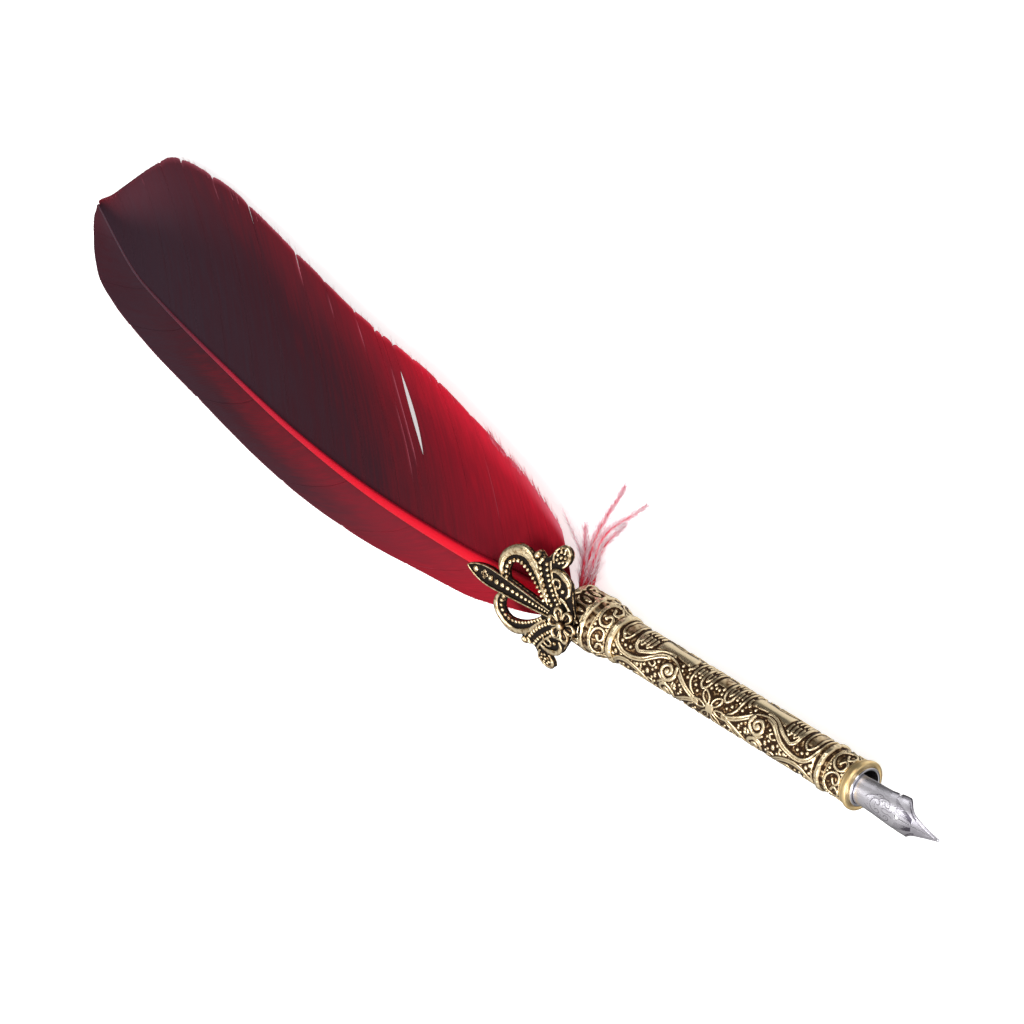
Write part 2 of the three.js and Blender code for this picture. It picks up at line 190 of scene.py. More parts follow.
def tube(path, radius, sides, flatten=1.0):
    """Points and faces of a closed tube along a path, its radius given along the path and its
    height `flatten` times its width."""
    path = np.asarray(path, float)
    radius = np.broadcast_to(radius, len(path))
    onward = np.gradient(path, axis=0)
    onward /= np.linalg.norm(onward, axis=1)[:, None] + 1e-12
    side = np.cross(onward, (0.0, 0.0, 1.0))
    side /= np.linalg.norm(side, axis=1)[:, None] + 1e-12
    rise = np.cross(side, onward)
    turn = np.linspace(0, 2 * np.pi, sides, endpoint=False)
    ring = (side[:, None] * np.cos(turn)[None, :, None]
            + rise[:, None] * np.sin(turn)[None, :, None] * flatten)
    points = (path[:, None] + ring * radius[:, None, None]).reshape(-1, 3)
    count = len(points)
    walls = grid_faces(len(path), sides, wrap_cols=True)
    here = np.arange(sides)
    ahead = (here + 1) % sides
    first_cap = np.stack([here, ahead, np.full(sides, count)], -1)
    last_cap = np.stack([ahead + count - sides, here + count - sides, np.full(sides, count + 1)], -1)
    return (np.vstack([points, path[:1], path[-1:]]),
            [*walls.tolist(), *first_cap.tolist(), *last_cap.tolist()])


def joined(parts):
    """Several (points, faces) as one."""
    points, faces, start = [], [], 0
    for part_points, part_faces in parts:
        points.append(part_points)
        faces += [[i + start for i in face] for face in part_faces]
        start += len(part_points)
    return np.vstack(points), faces


def surface_hollows(obj, rounds, strength):
    """How far each vertex lies below its smoothed surroundings, from 0 on a ridge to 1 in a recess."""
    mesh = obj.data
    count = len(mesh.vertices)
    co = np.empty(count * 3)
    mesh.vertices.foreach_get("co", co)
    co = co.reshape(-1, 3)
    edges = np.empty(len(mesh.edges) * 2, np.int64)
    mesh.edges.foreach_get("vertices", edges)
    a, b = edges.reshape(-1, 2).T
    degree = np.bincount(a, minlength=count) + np.bincount(b, minlength=count)
    soft = co.copy()
    for _ in range(rounds):
        near = np.empty_like(soft)
        for k in range(3):
            near[:, k] = np.bincount(a, soft[b, k], count) + np.bincount(b, soft[a, k], count)
        soft = near / np.maximum(degree, 1)[:, None]
    normal = np.empty(count * 3)
    mesh.vertices.foreach_get("normal", normal)
    depth = ((soft - co) * normal.reshape(-1, 3)).sum(1) / MM
    return np.clip(0.5 + depth * strength, 0, 1)


# ---- Node materials ----------------------------------------------------------------------------
class Nodes:
    """The node tree of a world, or of a new material if only its name is given."""

    def __init__(self, name, world=None):
        self.material = world or bpy.data.materials.new(name)
        self.material.use_nodes = True
        self.tree = self.material.node_tree
        self.shader = self.tree.nodes["Background" if world else "Principled BSDF"]

    def add(self, kind, inputs=None, **settings):
        node = self.tree.nodes.new(kind)
        for key, value in settings.items():
            setattr(node, key, value)
        for key, value in (inputs or {}).items():
            self.feed(node, key, value)
        return node

    def feed(self, node, key, value):
        if isinstance(value, bpy.types.NodeSocket):
            self.tree.links.new(value, node.inputs[key])
        else:
            node.inputs[key].default_value = value

    def set(self, key, value):
        self.feed(self.shader, key, value)

    def attribute(self, name):
        return self.add("ShaderNodeAttribute", attribute_name=name).outputs["Fac"]

    def place(self):
        return self.add("ShaderNodeTexCoord").outputs["Object"]

    def noise(self, scale, detail, vector=None):
        inputs = {"Scale": scale, "Detail": detail, "Roughness": 0.55,
                  "Vector": vector or self.place()}
        return self.add("ShaderNodeTexNoise", inputs).outputs["Fac"]

    def math(self, operation, a, b=0.0, c=0.0, clamp=False):
        return self.add("ShaderNodeMath", {0: a, 1: b, 2: c}, operation=operation,
                        use_clamp=clamp).outputs[0]

    def remap(self, value, low, high, to_low=0.0, to_high=1.0):
        inputs = {"Value": value, "From Min": low, "From Max": high,
                  "To Min": to_low, "To Max": to_high}
        return self.add("ShaderNodeMapRange", inputs, interpolation_type="SMOOTHSTEP").outputs[0]

    def ramp(self, value, stops):
        node = self.add("ShaderNodeValToRGB", {"Fac": value})
        elements = node.color_ramp.elements
        while len(elements) < len(stops):
            elements.new(0.5)
        for element, (position, color) in zip(elements, stops):
            element.position = position
            element.color = (*color, 1.0)
        return node.outputs["Color"]

    def mix(self, factor, a, b):
        node = self.add("ShaderNodeMix", data_type="RGBA")
        self.feed(node, 0, factor)
        self.feed(node, 6, a if isinstance(a, bpy.types.NodeSocket) else (*a, 1.0))
        self.feed(node, 7, b if isinstance(b, bpy.types.NodeSocket) else (*b, 1.0))
        return node.outputs[2]

    def bump(self, height, distance, strength):
        inputs = {"Height": height, "Distance": distance, "Strength": strength}
        self.set("Normal", self.add("ShaderNodeBump", inputs).outputs["Normal"])


def srgb(red, green, blue):
    """A colour given as 0 to 255 on screen, as the linear one that a shader takes."""
    return tuple(c / 12.92 if c <= 0.04045 else ((c + 0.055) / 1.055) ** 2.4
                 for c in (red / 255, green / 255, blue / 255))


GOLD_BRIGHT = srgb(242, 222, 184)
GOLD = srgb(210, 184, 144)
GOLD_BROWN = srgb(128, 96, 62)
PATINA = srgb(52, 32, 16)
PATINA_BLACK = srgb(34, 26, 22)
PER_MM = 1000.0  # a texture scale of one feature a millimetre, on coordinates in metres


def antique_gold(name, patina=PATINA, shine=0.27, grime=0.26):
    """Cast gold-coloured metal, left dark in its hollows and rubbed bright on its ridges. `shine` is
    the roughness of the ridges, and `grime` how much of them is blotched."""
    n = Nodes(name)
    hollow = n.attribute("hollow")
    smudge = n.noise(1.1 * PER_MM, detail=4.0)
    speck = n.noise(7.0 * PER_MM, detail=2.0)
    patches = n.remap(smudge, 0.32, 0.68)
    uneven = n.math("MULTIPLY_ADD", patches, grime, -0.12)
    fine = n.math("MULTIPLY_ADD", speck, 0.16, -0.08)
    depth = n.math("ADD", n.math("ADD", hollow, uneven), fine, clamp=True)
    color = n.ramp(depth, [(0.12, GOLD_BRIGHT), (0.34, GOLD), (0.52, GOLD_BROWN), (0.7, patina)])
    n.set("Base Color", color)
    n.set("Metallic", n.remap(depth, 0.55, 0.9, 1.0, 0.8))
    n.set("Roughness", n.remap(depth, 0.3, 0.85, shine, 0.55))
    n.bump(n.math("MULTIPLY_ADD", speck, 0.6, smudge), 0.00004, 0.5)
    return n.material


def polished_gold(name):
    """Smooth buffed gold with faint dents and hairline scratches, dark in its groove."""
    n = Nodes(name)
    wave = n.noise(0.6 * PER_MM, detail=2.0)
    hair = n.noise(9.0 * PER_MM, detail=3.0)
    gold = n.ramp(wave, [(0.3, srgb(248, 212, 150)), (0.7, srgb(255, 230, 176))])
    n.set("Base Color", n.mix(n.attribute("hollow"), gold, PATINA))
    n.set("Metallic", 1.0)
    n.set("Roughness", n.remap(hair, 0.2, 0.8, 0.32, 0.44))
    n.bump(n.math("MULTIPLY_ADD", hair, 0.15, wave), 0.00008, 0.45)
    return n.material


def chrome(name):
    """Bright plating with fine drawing marks round the tube."""
    n = Nodes(name)
    marks = n.noise(14.0 * PER_MM, detail=2.0)
    n.set("Base Color", n.ramp(marks, [(0.2, srgb(188, 188, 196)), (0.8, srgb(216, 216, 222))]))
    n.set("Metallic", 1.0)
    n.set("Roughness", n.remap(marks, 0.2, 0.8, 0.05, 0.14))
    return n.material


def shaded_inner_metal(name):
    """Unpolished metal, dull and grainy, painted dark grey as the shade inside a tube."""
    n = Nodes(name)
    grain = n.noise(5.0 * PER_MM, detail=4.0)
    n.set("Base Color", n.ramp(grain, [(0.25, srgb(58, 52, 54)), (0.75, srgb(96, 90, 92))]))
    n.set("Metallic", 0.9)
    n.set("Roughness", n.remap(grain, 0.2, 0.8, 0.4, 0.6))
    return n.material


def nib_steel(name):
    """Satin nickel-plated steel with lengthwise polishing lines."""
    n = Nodes(name)
    stretch = n.add("ShaderNodeMapping", {"Vector": n.place(), "Scale": (0.12, 1.0, 1.0)})
    lines = n.noise(9.0 * PER_MM, detail=3.0, vector=stretch.outputs["Vector"])
    cloud = n.noise(0.9 * PER_MM, detail=2.0)
    hollow = n.attribute("hollow")
    # darker where `hollow` is: the engraving, plus the painted shade at the point and the painted dark
    # reflection at the shoulders' edges
    tone = n.math("ADD", n.math("MULTIPLY_ADD", lines, 0.3, -0.15), n.math("MULTIPLY", hollow, 0.8))
    n.set("Base Color", n.ramp(n.math("MULTIPLY_ADD", cloud, 0.2, tone), [
        (0.0, srgb(212, 210, 217)), (0.4, srgb(182, 179, 187)), (0.9, srgb(84, 80, 90))]))
    n.set("Metallic", 1.0)
    n.set("Roughness", n.remap(lines, 0.25, 0.75, 0.26, 0.36))
    n.bump(lines, 0.00002, 0.4)
    return n.material


def glue_look(name):
    """Dried glue round the quill: brown, uneven and a little shiny."""
    n = Nodes(name)
    lumps = n.noise(1.5 * PER_MM, detail=4.0)
    n.set("Base Color", n.ramp(lumps, [(0.3, srgb(74, 52, 34)), (0.7, srgb(128, 98, 66))]))
    n.set("Roughness", n.remap(lumps, 0.3, 0.7, 0.35, 0.6))
    n.bump(lumps, 0.0003, 0.6)
    return n.material


RED_BRIGHT = srgb(202, 20, 46)
NEAR_BLACK = srgb(45, 29, 38)
# the pale pink of painted light through the barbs and of painted sheen
BACKLIT_PINK = srgb(235, 130, 150)


def vane_look(name):
    """Dyed barbs lying side by side: near-black wine over most of the feather, red towards its foot
    and margin, thin enough for light to come through. Where `thin` is, it is painted paler pink:
    painted light from behind, and a painted sheen on the narrow vane."""
    n = Nodes(name)
    dye = n.attribute("dye")
    thin = n.attribute("thin")
    barb = n.attribute("barb")
    cloud = n.noise(0.07 * PER_MM, detail=3.0)
    streak = n.math("MULTIPLY_ADD", barb, 0.08, -0.04)
    tone = n.math("ADD", dye, n.math("MULTIPLY_ADD", cloud, 0.08, -0.04))
    tone = n.math("ADD", tone, streak, clamp=True)
    base = n.ramp(tone, [(0.0, NEAR_BLACK), (0.2, srgb(50, 18, 27)), (0.42, srgb(84, 14, 25)),
                         (0.62, srgb(116, 12, 28)), (0.8, srgb(154, 16, 34)), (1.0, RED_BRIGHT)])
    # painted light and sheen: paler pink where `thin` is
    n.set("Base Color", n.mix(thin, base, BACKLIT_PINK))
    n.set("Roughness", n.remap(barb, 0.0, 1.0, 0.58, 0.72))
    n.set("Specular IOR Level", 0.08)
    n.set("Sheen Weight", 0.03)
    n.set("Sheen Roughness", 0.4)
    n.set("Sheen Tint", (*srgb(190, 110, 130), 1.0))
    glow = n.add("ShaderNodeBsdfTranslucent", {"Color": base})
    blend = n.add("ShaderNodeMixShader")
    n.feed(blend, 0, n.remap(tone, 0.4, 1.0, 0.06, 0.3))
    n.feed(blend, 1, n.shader.outputs["BSDF"])
    n.feed(blend, 2, glow.outputs["BSDF"])
    output = n.tree.nodes["Material Output"]
    n.feed(output, "Surface", blend.outputs[0])
    return n.material


def quill_look(name):
    """The dyed shaft: glossy red horn at its base, a dull plum hairline at its tip, and painted shade
    along its underside and along the flank where the broad vane meets it.
    """
    n = Nodes(name)
    along = n.attribute("along")
    painted_shade = n.attribute("painted_shade")
    stretch = n.add("ShaderNodeMapping", {"Vector": n.place(), "Scale": (0.06, 1.0, 1.0)})
    grain = n.noise(2.2 * PER_MM, detail=4.0, vector=stretch.outputs["Vector"])
    top = n.ramp(n.math("MULTIPLY_ADD", grain, 0.1, along), [
        (0.08, srgb(216, 10, 36)), (0.48, srgb(202, 14, 38)), (0.66, srgb(176, 24, 46)),
        (0.78, srgb(122, 32, 50)), (0.88, srgb(76, 38, 50)), (1.0, srgb(66, 46, 56))])
    # painted shade: a darker red on the underside and along the flank by the broad vane
    n.set("Base Color", n.mix(n.math("MULTIPLY", painted_shade, 0.8), top, srgb(92, 12, 30)))
    n.set("Roughness", n.remap(grain, 0.3, 0.7, 0.36, 0.5))
    n.set("Subsurface Weight", 0.15)
    n.set("Subsurface Radius", (0.0012, 0.0004, 0.0003))
    n.set("Specular IOR Level", 0.14)
    n.set("Coat Weight", 0.02)
    n.set("Coat Roughness", 0.3)
    n.bump(grain, 0.00008, 0.4)
    return n.material


def down_look(name):
    """Soft barbs of down: red at the root, fading to a pale greyish pink at the ends."""
    n = Nodes(name)
    fade = n.attribute("fade")
    tint = n.noise(0.4 * PER_MM, detail=2.0)
    color = n.ramp(n.math("MULTIPLY_ADD", tint, 0.3, n.math("ADD", fade, -0.15)), [
        (0.1, srgb(212, 20, 50)), (0.35, srgb(222, 84, 110)), (0.6, srgb(234, 172, 186)),
        (0.9, srgb(242, 226, 230))])
    n.set("Base Color", color)
    n.set("Roughness", n.remap(tint, 0.2, 0.8, 0.55, 0.75))
    n.set("Sheen Weight", 0.3)
    return n.material


# ---- Relief: a field of heights drawn with strokes, beads and leaves -----------------------------
class Relief:
    """Heights from 0 to 1 over a grid of points (x, y), drawn one shape over another."""

    def __init__(self, x, y):
        self.x = x
        self.y = y
        self.height = np.zeros_like(x)

    def distance(self, curve):
        """How far each point is from a line of points."""
        nearest = np.full(self.x.shape, np.inf)
        for (ax, ay), (bx, by) in zip(curve[:-1], curve[1:]):
            dx, dy = bx - ax, by - ay
            t = np.clip(((self.x - ax) * dx + (self.y - ay) * dy) / (dx * dx + dy * dy + 1e-12), 0, 1)
            gap = (self.x - ax - t * dx) ** 2 + (self.y - ay - t * dy) ** 2
            np.minimum(nearest, gap, out=nearest)
        return np.sqrt(nearest)

    def inside(self, curve):
        """Which points are inside a closed line of points."""
        hit = np.zeros(self.x.shape, bool)
        closed = np.vstack([curve, curve[:1]])
        for (ax, ay), (bx, by) in zip(closed[:-1], closed[1:]):
            crosses = (ay > self.y) != (by > self.y)
            with np.errstate(divide="ignore", invalid="ignore"):
                at = ax + (self.y - ay) * (bx - ax) / (by - ay)
            hit ^= crosses & (self.x < at)
        return hit

    def raise_to(self, height):
        self.height = np.maximum(self.height, height)

    def clear(self, points, width):
        """Sinks what lies beside a curve, so that the shape drawn next stands out from it."""
        self.height *= smoothstep(width * 0.75, width * 1.2, self.distance(spline(points)))

    def stroke(self, points, width, height=1.0, groove=0.0):
        """A raised band along a curve through the points, hollowed along its middle by `groove`."""
        d = self.distance(spline(points)) / (width / 2)
        rise = (1 - smoothstep(0.72, 1.25, d)) * (1 - 0.12 * np.clip(d, 0, 1) ** 2)
        self.raise_to(height * rise * (1 - groove * np.exp(-((d / 0.38) ** 2))))

    def bead(self, x, y, r, height=0.9):
        """A round bump of radius r."""
        d = np.hypot(self.x - x, self.y - y) / r
        self.raise_to(height * np.sqrt(np.clip(1.15 - d * d, 0, 1)) * (d < 1.07))

    def leaf(self, points, rim, height=1.0, floor=0.35, dome=0.0):
        """A closed outline with a raised rim round a lower, domed inside."""
        loop = spline([*points, points[0]])
        inside = self.inside(loop)
        d = self.distance(loop)
        self.raise_to(np.where(inside, floor + dome * smoothstep(rim * 0.5, rim * 3, d), 0))
        self.raise_to(height * (1 - smoothstep(0.35, 0.62, d / rim)))

    def spiral(self, x, y, r, turns, width, start):
        """A raised band that winds in towards (x, y), from the angle `start`."""
        turn = np.linspace(0, 1, int(22 * turns))
        reach = r * (1 - 0.86 * turn)
        angle = start + turn * turns * 2 * np.pi
        self.stroke(np.stack([x + reach * np.cos(angle), y + reach * np.sin(angle)], -1), width)


# ---- Barrel ------------------------------------------------------------------------------------
SLEEVE_FROM, SLEEVE_TO = span("barrel_sleeve")
SLEEVE_R = outer_radius("barrel_sleeve")
BORE_R = 4.45  # all the rings share one bore
RELIEF_DEPTH = 0.42
GROUND_SHADE = 0.78  # how much of the patina lies over the whole ground
CREASE_SHADE = 1.9  # and how much in the creases beside each ridge
FLOWER_X = 43.2  # the middle flower; the pattern is mirrored on both sides of it
FLOWER_ANGLE = math.radians(-4.6)  # and mirrored round the barrel about this line
HALF_LENGTH = max(SLEEVE_TO - FLOWER_X, FLOWER_X - SLEEVE_FROM)
QUARTER_ARC = math.pi / 2 * SLEEVE_R

# The sleeve's quarter pattern, in scroll_tile's x and y: small beads with their radii, and the vine.
GROUND_BEADS = [(27.7, 4.65, 0.42), (27.3, 3.15, 0.45), (26.1, 2.55, 0.4), (24.7, 2.75, 0.4),
                (28.6, 3.3, 0.36), (29.0, 1.0, 0.42), (28.1, 0.15, 0.42), (16.5, 3.25, 0.38),
                (16.5, 1.75, 0.38), (16.3, 0.25, 0.42), (20.6, 0.75, 0.38), (20.8, 2.3, 0.34),
                (18.6, 0.2, 0.5), (21.8, 0.2, 0.5), (19.8, 1.0, 0.4), (17.2, 0.95, 0.36),
                (23.4, 0.2, 0.36), (12.2, 0.25, 0.42), (10.5, 0.4, 0.48), (8.6, 0.3, 0.4),
                (9.2, 1.1, 0.34), (8.9, 5.4, 0.4), (8.1, 3.7, 0.4), (5.5, 5.1, 0.4),
                (5.4, 3.2, 0.4), (4.4, 2.25, 0.36), (9.3, 3.1, 0.38), (6.6, 4.8, 0.34),
                (10.2, 4.2, 0.36), (10.7, 5.3, 0.36), (9.9, 6.3, 0.36), (15.2, 4.15, 0.3),
                (1.5, 4.4, 0.38), (1.2, 5.6, 0.42), (0.4, 4.9, 0.36), (2.3, 5.3, 0.3)]
VINE = [(29.9, 8.2), (29.6, 4.75), (28.5, 2.3), (26.7, 1.05), (24.7, 0.75), (22.8, 1.0),
        (20.5, 1.85), (18.4, 3.35), (16.4, 4.8), (14.7, 5.2), (13.6, 5.0), (12, 4.35),
        (10.5, 3.4), (8.9, 2.25), (6.8, 1.0), (4.9, 0.3), (3.8, 0.1)]


def draw_ground(r):
    """The beads on the ground, and the small leaves among them."""
    for bead in GROUND_BEADS:
        r.bead(*bead)
    r.leaf([(11.2, 0.9), (12.0, 2.0), (13.2, 0.5), (12.4, -0.4), (11.4, 0.0)], 0.5, 0.8, 0.25)
    r.leaf([(17.0, 2.5), (18.2, 3.2), (19.2, 2.6), (18.2, 1.7), (17.2, 1.8)], 0.5, 0.95, 0.3)
    r.leaf([(21.6, 1.2), (22.6, 0.5), (21.7, -0.4), (20.4, 0.0)], 0.45, 0.8, 0.25)
    r.leaf([(26.1, -0.3), (27.0, 0.6), (26.0, 0.5), (24.9, -0.2)], 0.45, 0.8, 0.3)


def draw_stem(r):
    """The smooth stem on the mirror line, and upright flutes on both sides of it."""
    edge = 5.9 + 0.35 * np.cos((r.x - 14.2) / 1.9) - 0.25 * smoothstep(16, 19, r.x)
    stem = smoothstep(7.6, 9.6, r.x) * (1 - smoothstep(18.6, 19.6, r.x))
    swell = 0.45 * smoothstep(edge - 0.12, edge + 0.3, r.y) + 0.5 * smoothstep(edge, 7.4, r.y)
    r.raise_to(stem * swell)
    for flute in (20.0, 21.05, 22.1, 23.1):
        r.stroke([(flute, 7.15), (flute, 6.4), (flute + 0.1, 5.2)], 0.66, 0.95)
    r.stroke([(20.3, 5.2), (20.9, 4.5), (21.5, 5.1)], 0.5, 0.8)
    r.stroke([(22.0, 5.2), (22.55, 4.5), (23.0, 5.0)], 0.5, 0.8)
    for flute in (5.5, 6.4):
        r.stroke([(flute, 7.1), (flute, 6.7), (flute, 5.8)], 0.66, 0.95)
    r.stroke([(8.3, 7.1), (8.3, 6.4), (8.5, 5.7)], 0.6, 0.9)
    r.stroke([(2.95, 7.1), (2.95, 6.2), (3.45, 5.0), (3.9, 6.2), (3.9, 7.1)], 0.5, 0.85)
    r.raise_to(0.42 * (1 - smoothstep(1.2, 1.7, r.x)) * smoothstep(5.8, 6.2, r.y))


def draw_bands(r):
    """The bands that frame the stem and its flutes."""
    r.stroke([(24.0, 8.2), (23.8, 5.2), (23.5, 3.8), (22.4, 3.0), (21.2, 3.35), (19.5, 4.1),
              (17.4, 5.35), (15.9, 6.0), (14, 6.2)], 0.85, 0.95, 0.25)
    r.stroke([(25.6, 8.2), (25.6, 6.2), (25.95, 4.7), (26.9, 3.9), (27.9, 4.5), (28.4, 5.6),
              (28.4, 8.2)], 0.55, 0.95)
    r.raise_to(0.5 * (np.abs(r.x - 27.0) < 1.1) * smoothstep(4.5, 5.0, r.y))
    r.stroke([(7.3, 8.2), (7.25, 5.2), (7.0, 3.3), (6.1, 1.9), (5.0, 1.0)], 0.55, 0.95, 0.15)
    r.stroke([(4.75, 8.2), (4.6, 5.2), (4.35, 4.1), (3.45, 3.4), (2.6, 4.1), (2.3, 5.2),
              (2.2, 8.2)], 0.6, 0.95, 0.2)


def draw_vine(r):
    """The vine from the barrel's end to the flower, and the spiral that hangs from it."""
    r.clear(VINE, 0.8)
    r.stroke(VINE, 1.15, 1.0, 0.28)
    r.clear([(13.3, 2.4), (13.4, 2.5)], 2.7)
    r.spiral(13.3, 2.5, 2.35, 1.6, 0.78, start=2.4)
    r.bead(13.3, 2.5, 0.55, 1.0)
    r.stroke([(11.4, 3.2), (11.1, 2.4), (11.5, 1.6), (12.3, 1.0)], 0.75, 0.95)
    r.stroke([(13.0, 0.25), (14.3, 0.25), (15.3, 1.0)], 0.5, 0.9)


def draw_flower(r):
    """The middle flower: six petals and a square centre."""
    r.clear([(0, 0), (0.1, 0)], 3.2)
    petal = [(1.3, 0.0), (2.0, 0.62), (3.3, 0.9), (4.6, 0.62), (5.3, 0.0)]
    outline = petal + [(px, -py) for px, py in petal[-2:0:-1]]
    for k in range(6):
        turn = k * math.pi / 3
        reach = 1.0 if k % 3 == 0 else 0.92
        r.leaf([(reach * (px * math.cos(turn) - py * math.sin(turn)),
                 0.82 * reach * (px * math.sin(turn) + py * math.cos(turn)))
                for px, py in outline], 0.42, 0.95, 0.3, 0.2)
    r.raise_to(1 - smoothstep(0.95, 1.35, np.maximum(np.abs(r.x), np.abs(r.y))))


def scroll_tile(x, y):
    """A quarter of the barrel's pattern. x runs from the middle flower to the barrel's end, and y
    round the barrel, from the line of the flower to the line of the smooth stem."""
    r = Relief(x, y)
    draw_ground(r)
    draw_stem(r)
    draw_bands(r)
    draw_vine(r)
    draw_flower(r)
    r.raise_to(0.2 + 0.14 * value_noise(x * 1.7, y * 1.7, 12) + 0.06 * value_noise(x * 5, y * 5, 13))
    return r.height


def ring_piece(node, material, profile, height, depth, rows, cols, seed, dents=0.0, shade=None,
               slot="antique_gold", trim=0.0):
    """Replaces a ring of the barrel. `profile(f)` is its radius at a fraction of its length,
    `height(x, turn)` its relief from 0, sunk by `depth`, to 1, `dents` the depth of its dents,
    `shade(f, wobble)` how dark it is where that isn't its relief, and `trim` how much shorter its
    front is than the CAD's."""
    start, end = span(node)
    end -= trim
    f = np.linspace(0, 1, rows)
    turn = np.linspace(0, 2 * np.pi, cols, endpoint=False)
    fg, tg = np.meshgrid(f, turn, indexing="ij")
    xg = start + fg * (end - start)
    relief = height(xg, tg)
    lattice = cols // 9
    around = tg / (2 * np.pi) * lattice
    wobble = 0.6 * value_noise(xg / 1.6, around, seed, lattice)
    wobble += 0.4 * value_noise(xg / 0.6, around * 2, seed + 1, lattice * 2)
    radius = profile(fg) - depth * (1 - relief) - dents * (0.5 + 0.5 * wobble)
    hollow = shade(fg, wobble) if shade else 1 - relief
    points = [np.stack([xg, radius * np.sin(tg), radius * np.cos(tg)], -1).reshape(-1, 3)]
    hollows = [hollow.ravel()]
    for x in (end, start):
        points.append(np.stack([np.full(cols, x), BORE_R * np.sin(turn), BORE_R * np.cos(turn)], -1))
        hollows.append(np.full(cols, 0.9))
    faces = grid_faces(rows + 2, cols, wrap_rows=True, wrap_cols=True)
    obj = mesh_object("look_" + node, np.vstack(points), faces, material)
    crease = surface_hollows(obj, 7, 4.5)
    blended = GROUND_SHADE * np.concatenate(hollows) + CREASE_SHADE * (crease - 0.5)
    store(obj.data, "hollow", np.clip(blended, 0, 1))
    ready(obj, "pen", node, slot=slot)


def ready(obj, body, *nodes, slot):
    """Rides the piece on its body, in place of its CAD nodes."""
    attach(obj, body)
    if nodes:
        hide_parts(*nodes)


def sleeve_heights(x, turn):
    """The barrel's whole pattern, from one quarter tile."""
    along = np.linspace(0, HALF_LENGTH, 420)
    arc = np.linspace(0, QUARTER_ARC, 150)
    tile_x, tile_y = np.meshgrid(along, arc, indexing="ij")
    tile = scroll_tile(tile_x, tile_y)
    u = np.abs(x - FLOWER_X)
    v = np.abs((turn - FLOWER_ANGLE + np.pi / 2) % np.pi - np.pi / 2) * SLEEVE_R
    fu = np.clip(u / HALF_LENGTH * (len(along) - 1), 0, len(along) - 1.001)
    fv = np.clip(v / QUARTER_ARC * (len(arc) - 1), 0, len(arc) - 1.001)
    iu, iv = fu.astype(int), fv.astype(int)
    du, dv = fu - iu, fv - iv
    return ((tile[iu, iv] * (1 - du) + tile[iu + 1, iv] * du) * (1 - dv)
            + (tile[iu, iv + 1] * (1 - du) + tile[iu + 1, iv + 1] * du) * dv)


BAND_SCROLLS = 5
# Half of a C-scroll, in shares of its band's length and of its own half width.
C_SCROLL = [(0.08, 0.0), (0.15, 0.4), (0.34, 0.76), (0.6, 0.9), (0.84, 0.8), (0.94, 0.48),
            (0.84, 0.16), (0.68, 0.12), (0.54, 0.4)]


def band_heights(start, end, radius):
    """C-scrolls round a narrow band, with beads between them."""

    def heights(x, turn):
        pitch = 2 * np.pi / BAND_SCROLLS
        arc = ((turn - FLOWER_ANGLE + pitch / 2) % pitch - pitch / 2) * radius
        length = end - start
        half = pitch * radius / 2
        r = Relief(x - start, arc)
        for side in (1, -1):
            r.stroke([(length * u, side * half * v) for u, v in C_SCROLL], 0.56)
            r.bead(length * 0.54, side * half * 0.4, 0.36, 0.9)
            r.bead(length * 0.1, side * half * 0.74, 0.3, 0.8)
            r.bead(length * 0.15, side * half, 0.4, 0.95)
            r.bead(length * 0.9, side * half, 0.34, 0.7)
        r.raise_to(0.2 + 0.12 * value_noise(x * 2.2, turn * 9.0, 31))
        return r.height

    return heights


NECK_LEAVES = 7


def neck_heights(x, turn):
    """Overlapping leaves, incised round the socket that holds the feather."""
    start, end = span("neck_socket")
    pitch = 2 * np.pi / NECK_LEAVES
    radius = outer_radius("neck_socket")
    lines = np.zeros_like(x)
    for shift in (0.0, 0.5):
        arc = ((turn + pitch * (0.5 + shift)) % pitch - pitch / 2) * radius
        half = pitch * radius / 2
        r = Relief(x, arc)
        tip = start + 0.9 + 1.6 * shift
        for side in (1, -1):
            r.stroke([(tip, 0.0), (tip + 1.0, side * half * 0.62), (end - 1.4, side * half * 0.8),
                      (end + 0.3, side * half * 0.45)], 0.72, 1.0)
            r.stroke([(tip + 1.6, side * half * 0.2), (end - 1.0, side * half * 0.32)], 0.42, 0.75)
        lines = np.maximum(lines, r.height)
    swell = 0.12 * value_noise(x * 0.9, turn * 4.0, 17)
    edge = 1 - smoothstep(0.3, 0.7, np.abs(x - start - 0.2))
    return np.clip(np.maximum(0.88 + swell - lines, edge), 0, 1)


def ridge_profile(radius, low, high, groove):
    """A single ridge, from `low` to `high` of a ring's length, between two grooves."""
    middle, half = (low + high) / 2, (high - low) / 2
    return lambda f: radius - groove * smoothstep(0.5, 1.35, np.abs(f - middle) / half)


def ridge_shade(low, high, beside):
    """How dark such a ring is: rubbed bright on its ridge, `beside` and blotchy next to it."""
    middle, half = (low + high) / 2, (high - low) / 2

    def shade(f, wobble):
        away = smoothstep(0.75, 1.25, np.abs(f - middle) / half)
        ends = smoothstep(0.88, 1.0, np.abs(2 * f - 1))
        return np.clip(0.14 + beside * away + 0.4 * ends + 0.45 * wobble, 0, 1)

    return shade


def lip_profile(radius):
    """A groove, then the flared rim round the nib's end."""
    at = (0, 0.1, 0.18, 0.27, 0.4, 0.6, 0.78, 0.92, 0.98, 1)
    below = (0.75, 0.7, 0.42, 0.36, 0.3, 0.08, 0.0, 0.02, 0.1, 0.2)
    return lambda f: radius - np.interp(f, at, below)


def lip_shade(f, wobble):
    """Clean gold, with a dark line in the groove behind it."""
    return 0.05 + 0.8 * (1 - smoothstep(0.08, 0.2, f))


def no_relief(x, turn):
    return np.ones_like(x)


LIP_TRIM = 0.9  # the photo shows the lip and the tube in it this much shorter than the CAD


